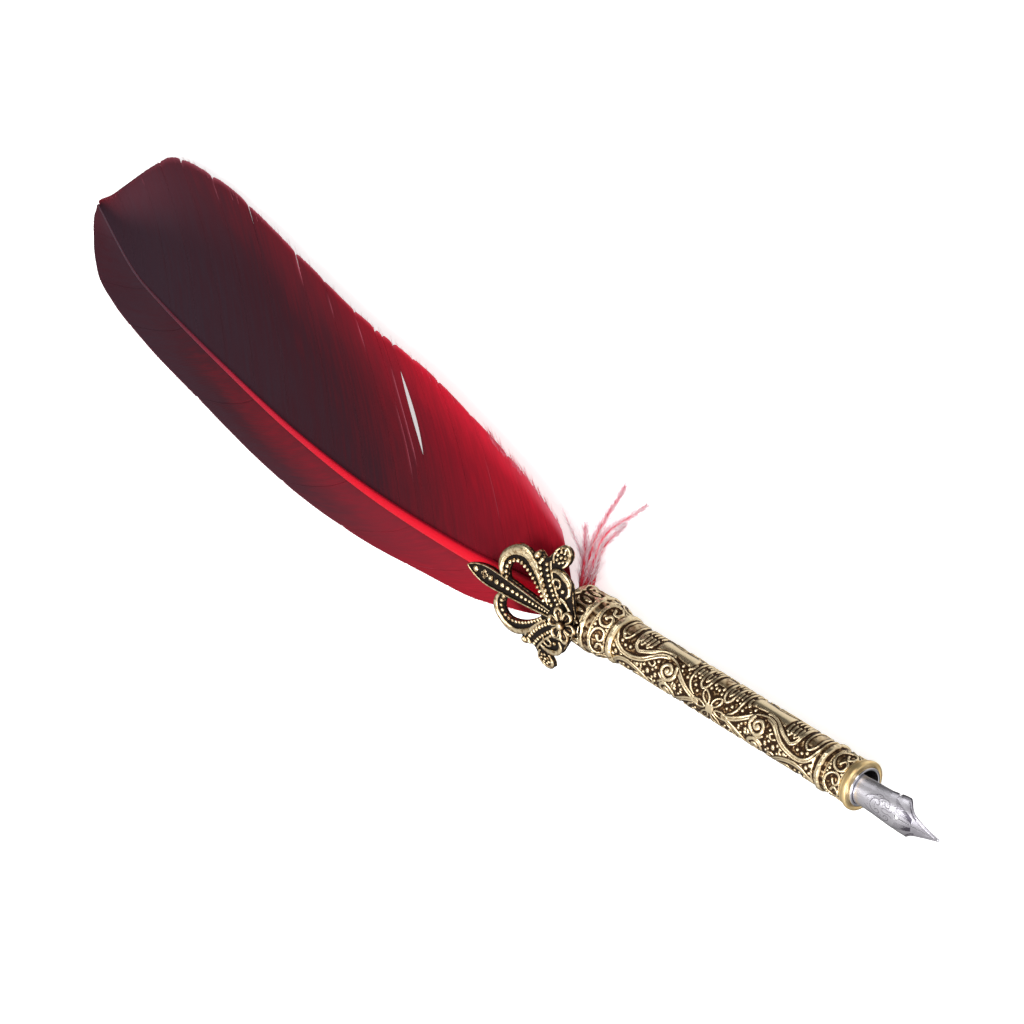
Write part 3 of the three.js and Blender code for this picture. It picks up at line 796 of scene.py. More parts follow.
def build_barrel():
    gold = antique_gold("antique_gold_relief")
    ring_piece("barrel_sleeve", gold, lambda f: SLEEVE_R, sleeve_heights, RELIEF_DEPTH, 392, 248,
               dents=0.03, seed=3)
    start, end = span("front_scroll_band")
    radius = outer_radius("front_scroll_band")
    ring_piece("front_scroll_band", gold, lambda f: radius, band_heights(start, end, radius), 0.4,
               48, 288, seed=4)
    start, end = span("rear_scroll_band")
    wide = outer_radius("rear_scroll_band")
    ring_piece("rear_scroll_band", gold,
               lambda f: wide - 0.15 * f - 0.9 * smoothstep(0.25, 1.0, f),
               band_heights(start, end, wide - 0.4), 0.4, 44, 320, seed=5)
    neck_r = outer_radius("neck_socket")
    ring_piece("neck_socket", gold,
               lambda f: neck_r - 0.3 * (1 - smoothstep(0, 0.08, f)) - 0.15 * np.sin(np.pi * f),
               neck_heights, RELIEF_DEPTH, 64, 320, seed=6)
    for node, low, high, groove, beside, rows, dents, seed in (
            ("collar_rim", 0.0, 0.4, 0.42, 0.55, 64, 0.26, 72),
            ("rear_ring", 0.34, 0.94, 0.42, 0.6, 48, 0.22, 56),
            ("front_ring", 0.3, 0.7, 0.6, 0.8, 60, 0.24, 68)):
        ring_piece(node, gold, ridge_profile(outer_radius(node), low, high, groove), no_relief, 0.0,
                   rows, 280, dents=dents, seed=seed, shade=ridge_shade(low, high, beside))
    ring_piece("lip_ring", polished_gold("polished_gold"), lip_profile(outer_radius("lip_ring")),
               no_relief, 0.0, 60, 200, dents=0.05, seed=9, shade=lip_shade, slot="polished_gold",
               trim=LIP_TRIM)


build_barrel()


# ---- Nib and ferrule -----------------------------------------------------------------------------
# Along the nib: x, half width, radius of its arched section, height of its crown.
NIB_STATIONS = np.array([
    (73.5, 3.5, 3.7, 3.7), (85.2, 3.5, 3.7, 3.7), (88.5, 3.7, 4.0, 3.68), (92.5, 4.0, 4.8, 3.62),
    (95.6, 4.4, 5.2, 3.5), (97, 4.45, 5.3, 3.4), (97.6, 4.15, 5.4, 3.36), (98.4, 3.45, 5.5, 3.3),
    (99.6, 2.55, 5.6, 3.2), (101, 1.95, 5.6, 3.07), (103, 1.3, 5.6, 2.9), (105, 0.75, 5.6, 2.74),
    (106.7, 0.3, 5.6, 2.62)])
NIB_THICKNESS = 0.4
NIB_EMBOSS = 0.03  # how far its engraving stands out
NIB_VENT_X = 95.7
NIB_VENT_R = 0.5
NIB_SLIT = 0.12
NIB_NICK = [(93.5, 4.65), (94.9, 4.65), (94.2, 3.5)]  # the nick in one edge
NIB_CURLS = [([(88.6, 0.2), (89.2, 1.2), (90.4, 1.6), (91.2, 1.0), (90.7, 0.45), (90.0, 0.8)], 0.2),
             ([(90.8, 1.9), (92.2, 2.4), (93.4, 2.0), (93.7, 1.2), (92.9, 0.9), (92.4, 1.4)], 0.2),
             ([(87.2, 0.9), (88.0, 1.5), (88.8, 1.9), (89.8, 2.2)], 0.18),
             ([(91.8, 0.2), (92.6, 0.5), (93.8, 0.4), (94.6, 0.7)], 0.18),
             ([(89.6, 2.3), (90.6, 2.7), (91.4, 2.5)], 0.18)]


def nib_engraving(x, arc, edge):
    """A generic pressed ornament: a border line, leafy curls and a fan of fine rays."""
    r = Relief(x, arc)
    for side in (1, -1):
        for line, width in NIB_CURLS:
            r.stroke([(px, side * py) for px, py in line], width)
        for k in range(6):
            ray = [(94.2 + 0.25 * k, 3.6 - 0.45 * k), (95.8 + 0.3 * k, 2.9 - 0.38 * k),
                   (97.4 + 0.3 * k, 2.2 - 0.28 * k), (99.6, 1.3 - 0.16 * k)]
            r.stroke([(px, side * py) for px, py in ray], 0.17, 0.9)
        for px, py in ((88.0, 0.5), (89.9, 0.25), (91.6, 1.5), (93.1, 1.5), (90.6, 2.3)):
            r.bead(px, side * py, 0.16, 0.8)
    border = np.abs(edge - 0.62)
    r.raise_to(0.7 * (1 - smoothstep(0.08, 0.2, border)) * smoothstep(94.4, 95.2, x))
    return r.height


def carved(obj, *cutters):
    """Cuts the cutters out of a mesh object for good."""
    for cutter in cutters:
        modifier = obj.modifiers.new("cut", "BOOLEAN")
        modifier.operation = "DIFFERENCE"
        modifier.solver = "EXACT"
        modifier.object = cutter
    mesh = finished_mesh(obj)
    obj.modifiers.clear()
    old, obj.data = obj.data, mesh
    bpy.data.meshes.remove(old)
    for cutter in cutters:
        bpy.data.objects.remove(cutter)
    return obj


def prism(outline, z_low, z_high, material):
    """A closed upright block with the given outline, seen from above anticlockwise."""
    count = len(outline)
    low = [(x, y, z_low) for x, y in outline]
    high = [(x, y, z_high) for x, y in outline]
    sides = [(i, (i + 1) % count, (i + 1) % count + count, i + count) for i in range(count)]
    faces = [list(range(count))[::-1], list(range(count, 2 * count)), *sides]
    return mesh_object("cutter", low + high, faces, material, smooth=False)


def build_nib():
    material = nib_steel("nib_steel")
    rows, cols = 300, 61
    x = np.linspace(NIB_STATIONS[0, 0], NIB_STATIONS[-1, 0], rows)
    half, radius, crown = (np.interp(x, NIB_STATIONS[:, 0], NIB_STATIONS[:, k])[:, None]
                           for k in (1, 2, 3))
    side = np.linspace(-1, 1, cols)
    turn = np.arcsin(np.clip(half / radius, 0, 0.999)) * side
    xg = np.repeat(x[:, None], cols, 1)
    edge = (1 - np.abs(side))[None] * half
    drawn = nib_engraving(xg, turn * radius, edge)
    thinner = np.interp(x, (98, 106), (1, 0.6))[:, None]  # the sheet, towards its point
    layers = []
    for inset, emboss in ((0.0, NIB_EMBOSS), (NIB_THICKNESS, 0.0)):
        reach = radius - inset * thinner + emboss * (drawn - 0.5)
        layer = np.stack([xg, reach * np.sin(turn), crown - radius + reach * np.cos(turn)], -1)
        layers.append(layer.reshape(-1, 3))
    # dark: the engraving, painted shade towards the point, and a painted dark reflection along the
    # edges of the shoulders
    dark = np.where((xg > 87) & (xg < 100.5), 0.85 * drawn, 0.0) * (edge > 0.5)
    dark += 0.5 * smoothstep(96.5, 99, xg)
    shoulder = smoothstep(91, 93, xg) * (1 - smoothstep(97.5, 99, xg))
    dark += 0.9 * (1 - smoothstep(0.15, 0.5, edge)) * shoulder
    underside = np.full(dark.size, 0.3)
    nib = mesh_object("look_nib", np.concatenate(layers), slab_faces(rows, cols), material,
                      {"hollow": np.concatenate([dark.ravel(), underside])})
    around = np.linspace(0, 2 * np.pi, 32, endpoint=False)
    vent = prism([(NIB_VENT_X + NIB_VENT_R * math.cos(a), NIB_VENT_R * math.sin(a)) for a in around],
                 1, 6, material)
    slit_end = NIB_STATIONS[-1, 0] + 1
    slit = prism([(NIB_VENT_X, -NIB_SLIT / 2), (slit_end, -NIB_SLIT / 2), (slit_end, NIB_SLIT / 2),
                  (NIB_VENT_X, NIB_SLIT / 2)], 0, 6, material)
    nicks = [prism([(px, py * s) for px, py in NIB_NICK][::-s], 0, 4, material) for s in (1, -1)]
    ready(carved(nib, vent, slit, *nicks), "nib", "nib", slot="nib_steel")
    # the hard bead welded to its point
    bead_x, bead_z = NIB_STATIONS[-1, 0] - 0.1, NIB_STATIONS[-1, 3] - NIB_THICKNESS / 2
    points, faces = dome(bead_x, 0, bead_z, 0.36, 0.3, 24, 10)
    bead = mesh_object("look_nib_point", points, faces, chrome("nib_point"))
    ready(bead, "nib", slot="nib_steel")


def build_ferrule():
    """The thin bright tube that holds the nib, dull inside and painted dark there as shade."""
    start, end = span("nib_ferrule")
    end -= LIP_TRIM
    outer = outer_radius("nib_ferrule")
    inner = outer - 0.6
    rounded = 0.12  # the edges of its mouth
    outside = [(start + (end - start) * f, outer) for f in (0.0, 0.3, 0.6, 0.9)]
    inside = [(start + (end - start) * f, inner) for f in (0.9, 0.6, 0.3, 0.0)]
    mouth = [(end - rounded, outer), (end - rounded * 0.3, outer - rounded * 0.3),
             (end, outer - rounded), (end, inner + rounded),
             (end - rounded * 0.3, inner + rounded * 0.3), (end - rounded, inner)]
    loop = np.array(outside + mouth + inside)
    segments = 128
    turn = np.linspace(0, 2 * np.pi, segments, endpoint=False)
    points = np.stack([np.repeat(loop[:, :1], segments, 1), loop[:, 1:] * np.sin(turn),
                       loop[:, 1:] * np.cos(turn)], -1).reshape(-1, 3)
    faces = grid_faces(len(loop), segments, wrap_rows=True, wrap_cols=True)
    ferrule = mesh_object("look_nib_ferrule", points, faces, chrome("ferrule_chrome"))
    ready(ferrule, "pen", "nib_ferrule", slot="ferrule_chrome")
    # its inside: painted shade, dark grey
    ferrule.data.materials.append(shaded_inner_metal("ferrule_inside"))
    for face in ferrule.data.polygons:
        if math.hypot(*on_axis(face.center)[1:]) < inner + 0.02:
            face.material_index = 1


# ---- Cast ornament -------------------------------------------------------------------------------
ORNAMENT_BEND = 0.018  # how far its sides bend down, by the square of their distance out
ORNAMENT_BACK = 5.4
CAST_FLOOR = 6.3  # the ground between the ornament's rims and beads
CAST_RIM = 6.5  # the middle height of its rims
CAST_BEADS = 6.62  # and of its beads
CAST_VOXEL = 0.13


def bezier(*corners, steps=10):
    """A chain of cubic curves: a start, then two handles and an end for each curve."""
    t = np.linspace(0, 1, steps + 1)[:, None]
    out = [np.array([corners[0]], float)]
    for k in range(0, len(corners) - 3, 3):
        a, b, c, d = np.array(corners[k:k + 4], float)
        curve = (1 - t) ** 3 * a + 3 * t * (1 - t) ** 2 * b + 3 * t**2 * (1 - t) * c + t**3 * d
        out.append(curve[1:])
    return np.vstack(out)


def ornament_side():
    """Half of the ornament's outline, from the tip of its spear to its foot."""
    return np.vstack([
        bezier((-29, 0), (-27.5, 1.2), (-25, 2.1), (-22, 2.2)),
        bezier((-18.4, 1.9), (-20.6, 3.2), (-21, 6.6), (-18.6, 8.4), (-16.6, 10.4), (-13.8, 10.6),
               (-12, 9.5), (-12.2, 10.9), (-11.2, 11.6), (-9.8, 10.7), (-8.2, 9.9), (-8.2, 11),
               (-7.4, 12.4), (-6.8, 14.2), (-4.6, 14.9), (-3, 13.6), (-1.8, 12.4), (-2.6, 10.4),
               (-4.2, 9.8), (-3, 9.2), (-0.6, 9.2), (0.6, 7.8), (1.6, 6.4), (2.4, 4.4), (3.6, 2.6)),
        [(3.6, 0)],
    ])


def loop_opening():
    return bezier((-16.6, 2.4), (-18, 4), (-17.2, 6.6), (-14.8, 6.5), (-12.4, 6.3), (-8.6, 4.4),
                  (-5.8, 1.5), (-7.5, 1.6), (-9.2, 1.8), (-11, 1.9), (-13, 2.0), (-15, 2.2),
                  (-16.6, 2.4))


def filled_plate(outline, holes, low, high):
    """Points and faces of a flat plate with holes, its sides upright."""
    curves = bpy.data.curves.new("plate", "CURVE")
    curves.dimensions = "2D"
    curves.fill_mode = "BOTH"
    curves.extrude = (high - low) / 2
    for loop in (outline, *holes):
        line = curves.splines.new("POLY")
        line.points.add(len(loop) - 1)
        line.points.foreach_set("co", [c for x, y in loop for c in (x, y, 0, 1)])
        line.use_cyclic_u = True
    holder = in_scene("plate", curves)
    mesh = finished_mesh(holder)
    points = np.array([v.co for v in mesh.vertices])
    points[:, 2] += (high + low) / 2
    faces = [list(p.vertices) for p in mesh.polygons]
    bpy.data.objects.remove(holder)
    return points, faces


def dome(x, y, z, r, rise, sides=14, rings=6):
    """A flattened ball: points and faces."""
    lat = np.linspace(-np.pi / 2, np.pi / 2, rings + 2)[1:-1]
    turn = np.linspace(0, 2 * np.pi, sides, endpoint=False)
    rows = np.stack([x + r * np.cos(lat)[:, None] * np.cos(turn),
                     y + r * np.cos(lat)[:, None] * np.sin(turn),
                     z + rise * np.sin(lat)[:, None] * np.ones(sides)], -1)
    points = np.vstack([rows.reshape(-1, 3), [(x, y, z - rise), (x, y, z + rise)]])
    faces = grid_faces(rings, sides, wrap_cols=True)[:, ::-1].tolist()
    count = rings * sides
    for j in range(sides):
        k = (j + 1) % sides
        faces.append([count, k, j])
        faces.append([count + 1, count - sides + j, count - sides + k])
    return points, faces


def strip(path, z, width, flatten=1.0):
    """A raised cord of metal along a flat path. `width` is one number, or one for each point."""
    line = np.column_stack([path, np.full(len(path), z)])
    return tube(line, np.asarray(width) / 2, 10, flatten)


def widths(count, at, values):
    """Widths for `count` points, from the values at a few fractions of the way."""
    return np.interp(np.linspace(0, 1, count), at, values)


def beads_along(path, z, r_first, r_last, pitch):
    """Beads along a path, `pitch` radii apart, their radius changing from end to end."""
    path = np.asarray(path, float)
    length = np.concatenate([[0], np.cumsum(np.linalg.norm(np.diff(path, axis=0), axis=1))])
    at, parts = 0.0, []
    while at < length[-1]:
        f = at / length[-1]
        r = r_first + (r_last - r_first) * f
        x, y = (np.interp(at, length, path[:, k]) for k in (0, 1))
        parts.append(dome(x, y, z, r, r))
        at += r * pitch
    return parts


def spear_parts():
    """The middle spear: a thin rim, a big bead, a ring of four and a tapering row."""
    rim = bezier((-28.85, 0), (-27.4, 1.25), (-25, 2.05), (-22, 2.05), (-17, 1.95), (-10, 1.25),
                 (-3.4, 0.7))
    parts = [strip(rim, CAST_RIM, 0.4, 2.3), strip(rim * (1, -1), CAST_RIM, 0.4, 2.3),
             dome(-26.5, 0, 6.35, 0.8, 0.6)]
    for dx, dy in ((-0.62, 0), (0.62, 0), (0, 0.62), (0, -0.62)):
        circle = [(-23.7 + dx + 0.3 * math.cos(a), dy * 1.1 + 0.3 * math.sin(a))
                  for a in np.linspace(0, 2 * math.pi, 9)]
        parts.append(strip(spline(circle, 3), 6.55, 0.3))
    return parts + beads_along([(-21.6, 0), (-3.4, 0)], CAST_RIM, 0.72, 0.26, 2.6)


def loop_parts(s):
    """A loop of the ornament, on the side s: a smooth wide band outside, a row of beads inside."""
    band = bezier((-18.5, 2.3), (-20.0, 3.6), (-20.2, 6.4), (-18.0, 8.1), (-16.2, 9.7),
                  (-13.9, 9.8), (-12.0, 8.6), (-9.6, 7.4), (-6.9, 5.0), (-4.6, 2.2))
    wide = widths(len(band), (0, 0.2, 0.45, 0.65, 1), (1.0, 2.0, 2.7, 2.0, 0.9))
    narrower = 1 if s > 0 else 0.72
    inner = bezier((-17.2, 2.4), (-18.5, 4.1), (-17.7, 7.0), (-14.8, 7.0), (-12.2, 6.8),
                   (-8.4, 4.8), (-5.2, 1.6))
    return [strip(band * (1, s), CAST_RIM, wide * narrower, 0.75),
            *beads_along(inner * (1, s), CAST_BEADS, 0.48, 0.42, 2.5)]


def petal_parts(s):
    """The outer petal: two rows of beads between rims, and two knobs where it meets the loop."""
    row = bezier((-3.2, 2.2), (-5.2, 3.6), (-8.4, 6.8), (-9.6, 9.2))
    return [*beads_along(row * (1, s), CAST_BEADS, 0.46, 0.5, 2.5),
            *beads_along((row + (1.55, 0.9)) * (1, s), CAST_BEADS, 0.42, 0.46, 2.55),
            strip((row + (-0.95, -0.4)) * (1, s), 6.7, 0.42),
            strip((row + (2.5, 1.3)) * (1, s), 6.65, 0.5),
            dome(-11.0, 10.25 * s, 6.35, 0.95, 0.95), dome(-9.3, 9.9 * s, 6.4, 0.6, 0.8)]


def lobe_parts(s):
    """The big lobe at the end of the petal: a dish with a leafy rim and beads in its hollow."""
    centre = np.array((-4.9, 12.1))
    rim = centre + [(2.1 * math.cos(a), 2.1 * math.sin(a)) for a in np.linspace(-0.9, 4.1, 26)]
    wide = widths(len(rim), (0, 0.35, 0.6, 1), (0.6, 1.0, 0.84, 0.52))
    parts = [strip(rim * (1, s), CAST_RIM, wide, 1.1)]
    for a in 0.3 + np.arange(7) * 2 * math.pi / 7:
        x, y = centre + (1.12 * math.cos(a), 1.12 * math.sin(a))
        parts.append(dome(x, s * y, 6.6, 0.38, 0.42))
    parts.append(dome(centre[0], s * centre[1], 6.6, 0.42, 0.45))
    for a in (0.0, 0.7, 1.4, 2.1, 2.8):
        out = np.array((math.cos(a), math.sin(a)))
        ray = np.array([centre + 1.6 * out, centre + 2.3 * out])
        parts.append(strip(ray * (1, s), 6.85, 0.4))
    return parts


def clasp_parts(s):
    """The leaf that clasps the neck, with a curl, a stem and two knobs beside it."""
    leaf = bezier((-5.6, 8.9), (-4.6, 9.6), (-2.6, 9.3), (-1.0, 8.6), (0.3, 7.9), (1.2, 6.2),
                  (0.0, 5.2))
    wide = widths(len(leaf), (0, 0.4, 1), (0.8, 1.5, 0.7))
    curl = bezier((-4.6, 6.6), (-4.9, 8.0), (-3.0, 8.3), (-2.4, 7.2), (-2.1, 6.4), (-3.0, 5.9),
                  (-3.4, 6.6))
    stem = np.array([(-1.4, 4.6), (0.2, 4.3), (1.8, 3.2), (3.2, 1.8)])
    return [strip(leaf * (1, s), CAST_RIM, wide, 0.9), strip(curl * (1, s), 6.65, 0.55),
            strip(stem * (1, s), 6.6, 0.8),
            dome(-1.2, 6.2 * s, 6.6, 0.5, 0.5), dome(-2.4, 4.9 * s, 6.6, 0.42, 0.45)]


def cast_parts():
    """Everything that the ornament is cast from, flat and still unbent."""
    side = ornament_side()
    outline = np.vstack([side, (side * (1, -1))[-2:0:-1]])
    holes = [loop_opening(), loop_opening() * (1, -1)]
    parts = [filled_plate(outline, holes, ORNAMENT_BACK, CAST_FLOOR), *spear_parts()]
    for s in (1, -1):
        parts += [*loop_parts(s), *petal_parts(s), *lobe_parts(s), *clasp_parts(s)]
    return parts


def build_ornament():
    """The ornament's parts run together as one casting, its sides then bent down."""
    points, faces = joined(cast_parts())
    material = antique_gold("antique_gold_cast", patina=PATINA_BLACK, shine=0.2, grime=0.62)
    rough = mesh_object("cast", points, faces, material)
    remesh = rough.modifiers.new("cast", "REMESH")
    remesh.mode = "VOXEL"
    remesh.voxel_size = CAST_VOXEL * MM
    mesh = finished_mesh(rough)
    bpy.data.objects.remove(rough)
    mesh.materials.clear()
    mesh.materials.append(material)
    mesh.polygons.foreach_set("use_smooth", [True] * len(mesh.polygons))
    obj = in_scene("look_fleur_de_lis", mesh)
    co = np.empty(len(mesh.vertices) * 3)
    mesh.vertices.foreach_get("co", co)
    co = co.reshape(-1, 3)
    height = (co[:, 2] - AXIS_ORIGIN[2]) / MM
    co[:, 2] -= ORNAMENT_BEND * ((co[:, 1] - AXIS_ORIGIN[1]) / MM) ** 2 * MM
    mesh.vertices.foreach_set("co", co.ravel())
    mesh.update()
    crease = surface_hollows(obj, 14, 3.4)
    sunk = 1 - smoothstep(CAST_FLOOR + 0.1, CAST_FLOOR + 0.6, height)
    store(mesh, "hollow", np.clip(0.72 * sunk + 1.7 * (crease - 0.44), 0, 1))
    ready(obj, "pen", "fleur_de_lis", slot="antique_gold")


def build_rosette():
    """Six cupped petals with turned-up rims round a sunken middle."""
    low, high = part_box("rosette")
    cx = on_axis((low + high) / 2)[0]
    reach = (high.x - low.x) / 2 / MM
    bottom, top = on_axis(low)[2], on_axis(high)[2]
    petals, sides, rings = 6, 240, 40
    turn = np.linspace(0, 2 * np.pi, sides, endpoint=False)
    f = np.linspace(0.01, 1, rings)
    fg, tg = np.meshgrid(f, turn, indexing="ij")
    lobe = np.abs(np.cos(petals * turn / 2))
    edge = reach * (0.5 + 0.5 * lobe ** 0.6)
    off = np.abs((petals * tg / 2 + np.pi / 2) % np.pi - np.pi / 2) / (np.pi / 2)
    rim = smoothstep(0.45, 0.8, np.maximum(off * 1.05, smoothstep(0.5, 1.0, fg) * 0.95))
    cup = 0.42 + 0.58 * rim
    split = smoothstep(0.86, 1.0, off)
    height = cup * (1 - 0.85 * split) * (0.55 + 0.45 * smoothstep(0.1, 0.55, fg))
    height *= 1 - 0.35 * smoothstep(0.9, 1.0, fg)
    rib = np.exp(-((off / 0.12) ** 2)) * smoothstep(0.25, 0.4, fg) * (1 - smoothstep(0.6, 0.8, fg))
    height = np.clip(height + 0.25 * rib, 0, 1)
    out = edge[None] * fg
    upper = np.stack([cx + out * np.cos(tg), out * np.sin(tg),
                      bottom + 0.2 + (top - bottom - 0.2) * height], -1)
    lower = upper[::-1].copy()
    lower[..., 2] = bottom
    points = np.concatenate([upper.reshape(-1, 3), lower.reshape(-1, 3)])
    faces = grid_faces(2 * rings, sides, wrap_rows=True, wrap_cols=True)
    hollow = np.concatenate([(1 - height).ravel(), np.full(height.size, 0.8)])
    material = antique_gold("antique_gold_rosette", patina=PATINA_BLACK, grime=0.45)
    obj = mesh_object("look_rosette", points, faces, material,
                      {"hollow": np.clip(1.5 * hollow - 0.1, 0, 1)})
    ready(obj, "pen", "rosette", slot="antique_gold")


def build_rosette_stud():
    """The round head in the middle of the rosette, dark round its foot."""
    low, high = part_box("rosette_stud")
    cx = on_axis((low + high) / 2)[0]
    seat = on_axis(low)[2] + 0.9  # the widest part of its head
    crown = on_axis(high)[2]
    stud_r = (high.x - low.x) / 2 / MM
    points, faces = dome(cx, 0, seat, stud_r, crown - seat, 40, 14)
    hollow = 0.75 * smoothstep(0.4, 1.0, np.hypot(points[:, 0] - cx, points[:, 1]) / stud_r)
    stud = mesh_object("look_rosette_stud", points, faces, antique_gold("antique_gold_stud"),
                       {"hollow": hollow})
    ready(stud, "pen", "rosette_stud", slot="antique_gold")


build_nib()
build_ferrule()
build_ornament()
build_rosette()
build_rosette_stud()


# ---- Feather -------------------------------------------------------------------------------------
# The middle line of the quill: x, y, z, and its radius along x.
QUILL_LINE = [(14, 0, 0), (0, 0, 0), (-21, -1, 0.6), (-35, -1.7, 0.9), (-65, -1.4, 1.0),
              (-92, 1.2, 0.5), (-116, 5.3, -0.4), (-143, 10.7, -1.9), (-154, 13.8, -2.7),
              (-169, 23.8, -3.2)]
QUILL_RADII = np.array([(-169, 0.22), (-140, 0.45), (-90, 0.85), (-35, 1.45), (-6, 2.0), (14, 2.0)])


class Vane(NamedTuple):
    """One vane of the feather, in millimetres and in shares of its length."""

    node: str
    side: int  # 1 towards +Y, -1 towards -Y
    drop: float  # how far its edge hangs below the quill
    count: int  # how many barbs it has
    loose: int  # how many barb ends stand out from its edge
    longest: float  # and the longest of them
    seed: int
    barbs: list  # a few of its barbs: where each leaves the quill, and its tip on the vane's edge
    splits: list  # where its barbs part at its edge, at fractions of its length
    slits: list  # open slits: where along, from and to how far out, how wide as a share of its length
    backlit_seams: list  # painted pale lines between barbs, standing in for light through the gaps: where along, from and to how far out, how pale
    red: tuple  # how red it is near the quill, near-black at 0, at tenths of its length
    edge_red: tuple  # and how much redder its edge is


BROAD_VANE = Vane(
    "broad_vane", side=1, drop=3.4, count=430, loose=240, longest=3.0, seed=21,
    barbs=[(-3, -17, 20.3), (-12, -30, 23.7), (-23, -44.8, 27.7), (-34, -57.6, 31.2),
           (-44.5, -69, 33), (-58, -84.6, 35.4), (-72, -97, 38.4), (-90, -116.9, 42.8),
           (-106, -134, 45.5), (-120, -147, 44.6), (-133, -153.5, 39.5), (-147, -160.5, 32.4),
           (-157, -165.4, 27.6), (-166, -168.9, 25.0), (-168.6, -169.5, 24.0)],
    splits=[0.035, 0.085, 0.14, 0.2, 0.25, 0.291, 0.307, 0.319, 0.35, 0.41, 0.455, 0.52, 0.575,
            0.63, 0.69, 0.745, 0.8, 0.83, 0.86, 0.885, 0.91],
    slits=[(0.291, 0.38, 0.84, 0.0095), (0.25, 0.5, 0.95, 0.0005), (0.35, 0.55, 0.93, 0.0005),
           (0.2, 0.35, 0.8, 0.0006), (0.455, 0.88, 1.05, 0.001), (0.52, 0.9, 1.05, 0.0008)],
    backlit_seams=[(0.14, 0.3, 0.75, 0.15), (0.307, 0.3, 0.84, 0.3), (0.319, 0.2, 0.62, 0.18),
            (0.35, 0.78, 0.98, 0.35), (0.41, 0.8, 0.95, 0.4), (0.455, 0.82, 1.0, 0.45),
            (0.575, 0.86, 1.0, 0.35), (0.745, 0.9, 1.0, 0.4)],
    red=(0.78, 0.7, 0.56, 0.4, 0.22, 0.14, 0.08, 0.04, 0.0, 0.0, 0.1),
    edge_red=(0.34, 0.36, 0.44, 0.36, 0.3, 0.28, 0.2, 0.14, 0.16, 0.5, 0.6))
NARROW_VANE = Vane(
    "narrow_vane", side=-1, drop=2.2, count=400, loose=120, longest=1.0, seed=22,
    barbs=[(-5, -23, -10), (-12, -34, -12.4), (-25, -48.4, -13.5), (-41, -65.6, -14.7),
           (-57, -81, -14.5), (-78, -101.7, -12.7), (-101, -124, -8.3), (-125, -146, -2.8),
           (-140, -159.6, 2.5), (-150, -166, 7.1), (-159, -169.2, 15.3), (-166, -169.8, 20.6),
           (-168.6, -169.6, 23.5)],
    splits=[0.06, 0.13, 0.2, 0.31, 0.4, 0.52, 0.63, 0.74, 0.86],
    slits=[(0.06, 0.5, 1.05, 0.0008), (0.2, 0.7, 1.05, 0.0005)],
    backlit_seams=[(0.06, 0.4, 1.0, 0.3), (0.2, 0.6, 1.0, 0.2)],
    red=(1.0, 0.9, 0.74, 0.6, 0.5, 0.42, 0.2, 0.1, 0.05, 0.04, 0.08),
    edge_red=(0.0, -0.05, 0.0, -0.14, -0.34, -0.34, -0.16, -0.02, 0.08, 0.12, 0.14))
TENTHS = np.linspace(0, 1, 11)
VANE_TIP_X = -169.5
VANE_FLAT_END = 45  # over this length at its tip, a vane droops less and less
VANE_SHEET = 0.14  # a vane's thickness at the quill
VANE_COLS = 34  # points along each barb
BARB_HOOK = 0.07  # how far every second barb stands above its neighbours
NOTCH_WIDTH = 0.004  # of the notches between bundles, as a share of the vane's length
LOOSE_FOOT = 0.11  # the share of a vane, at its foot, where loose barb ends are long
WHOLE_BARB = 32  # about how long a barb of a vane is

QUILL_POINTS = catmull(QUILL_LINE, np.linspace(0, len(QUILL_LINE) - 1, 900))[::-1]


def quill_radius(x):
    return np.interp(x, QUILL_RADII[:, 0], QUILL_RADII[:, 1])


def vane_points(vane, along, reach):
    """Points of a vane at fractions along its quill and out along its barbs."""
    table = np.array(vane.barbs, float)
    u = along * (len(table) - 1)
    root_x = catmull(table[:, :1], u, 0.0)[..., 0]
    tips = catmull(table[:, 1:], u)
    root_y = np.interp(root_x, QUILL_POINTS[:, 0], QUILL_POINTS[:, 1])
    root_y = root_y + vane.side * quill_radius(root_x) * 0.8
    x = root_x + (tips[..., 0] - root_x) * reach * (0.6 + 0.4 * reach)
    y = root_y + (tips[..., 1] - root_y) * reach * (1.15 - 0.15 * reach)
    fade = np.clip((x - VANE_TIP_X) / VANE_FLAT_END, 0.1, 1)
    crown = np.interp(np.maximum(x, VANE_TIP_X), QUILL_POINTS[:, 0], QUILL_POINTS[:, 2])
    z = crown - vane.drop * fade * np.clip(reach, 0, 2) ** 1.7
    return np.stack([x, y, z], -1)


def open_slits(vane, along, reach, middle_along):
    """Moves the barbs of one bundle apart from its neighbours where the vane is slit."""
    shifted = along.copy()
    for at, low, high, gap in vane.slits:
        middle = (reach - low) / (high - low)
        lens = np.where((middle > 0) & (middle < 1), np.sin(np.pi * np.clip(middle, 0, 1)) ** 0.8, 0)
        away = np.exp(-np.abs(along - at) / 0.02)
        shifted += math.copysign(gap / 2, middle_along - at) * lens * away
    return shifted


def redness(vane, along, reach):
    """How red a vane is, from 0, near-black, to 1, bright red."""
    edge = np.interp(along, TENTHS, vane.edge_red)
    if vane.side > 0:
        narrowing = 2.4 + 1.6 * smoothstep(0.5, 0.8, along)
        edge = edge * np.clip(reach, 0, 1) ** narrowing
        edge = edge + 0.5 * smoothstep(0.972, 1.0, along)
        rim = 0.2 * smoothstep(0.95, 1.0, reach) * (1 - 0.6 * smoothstep(0.35, 0.55, along))
    else:
        edge = edge * smoothstep(0.2, 0.9, reach)
        rim = 0.05 * smoothstep(0.95, 1.0, reach)
    return np.clip(np.interp(along, TENTHS, vane.red) + edge + rim, 0, 1)


def foot_cut(vane, along):
    """How much shorter a vane's barbs are at its foot."""
    return (0.32 if vane.side > 0 else 0.1) * np.exp(-along / 0.045)


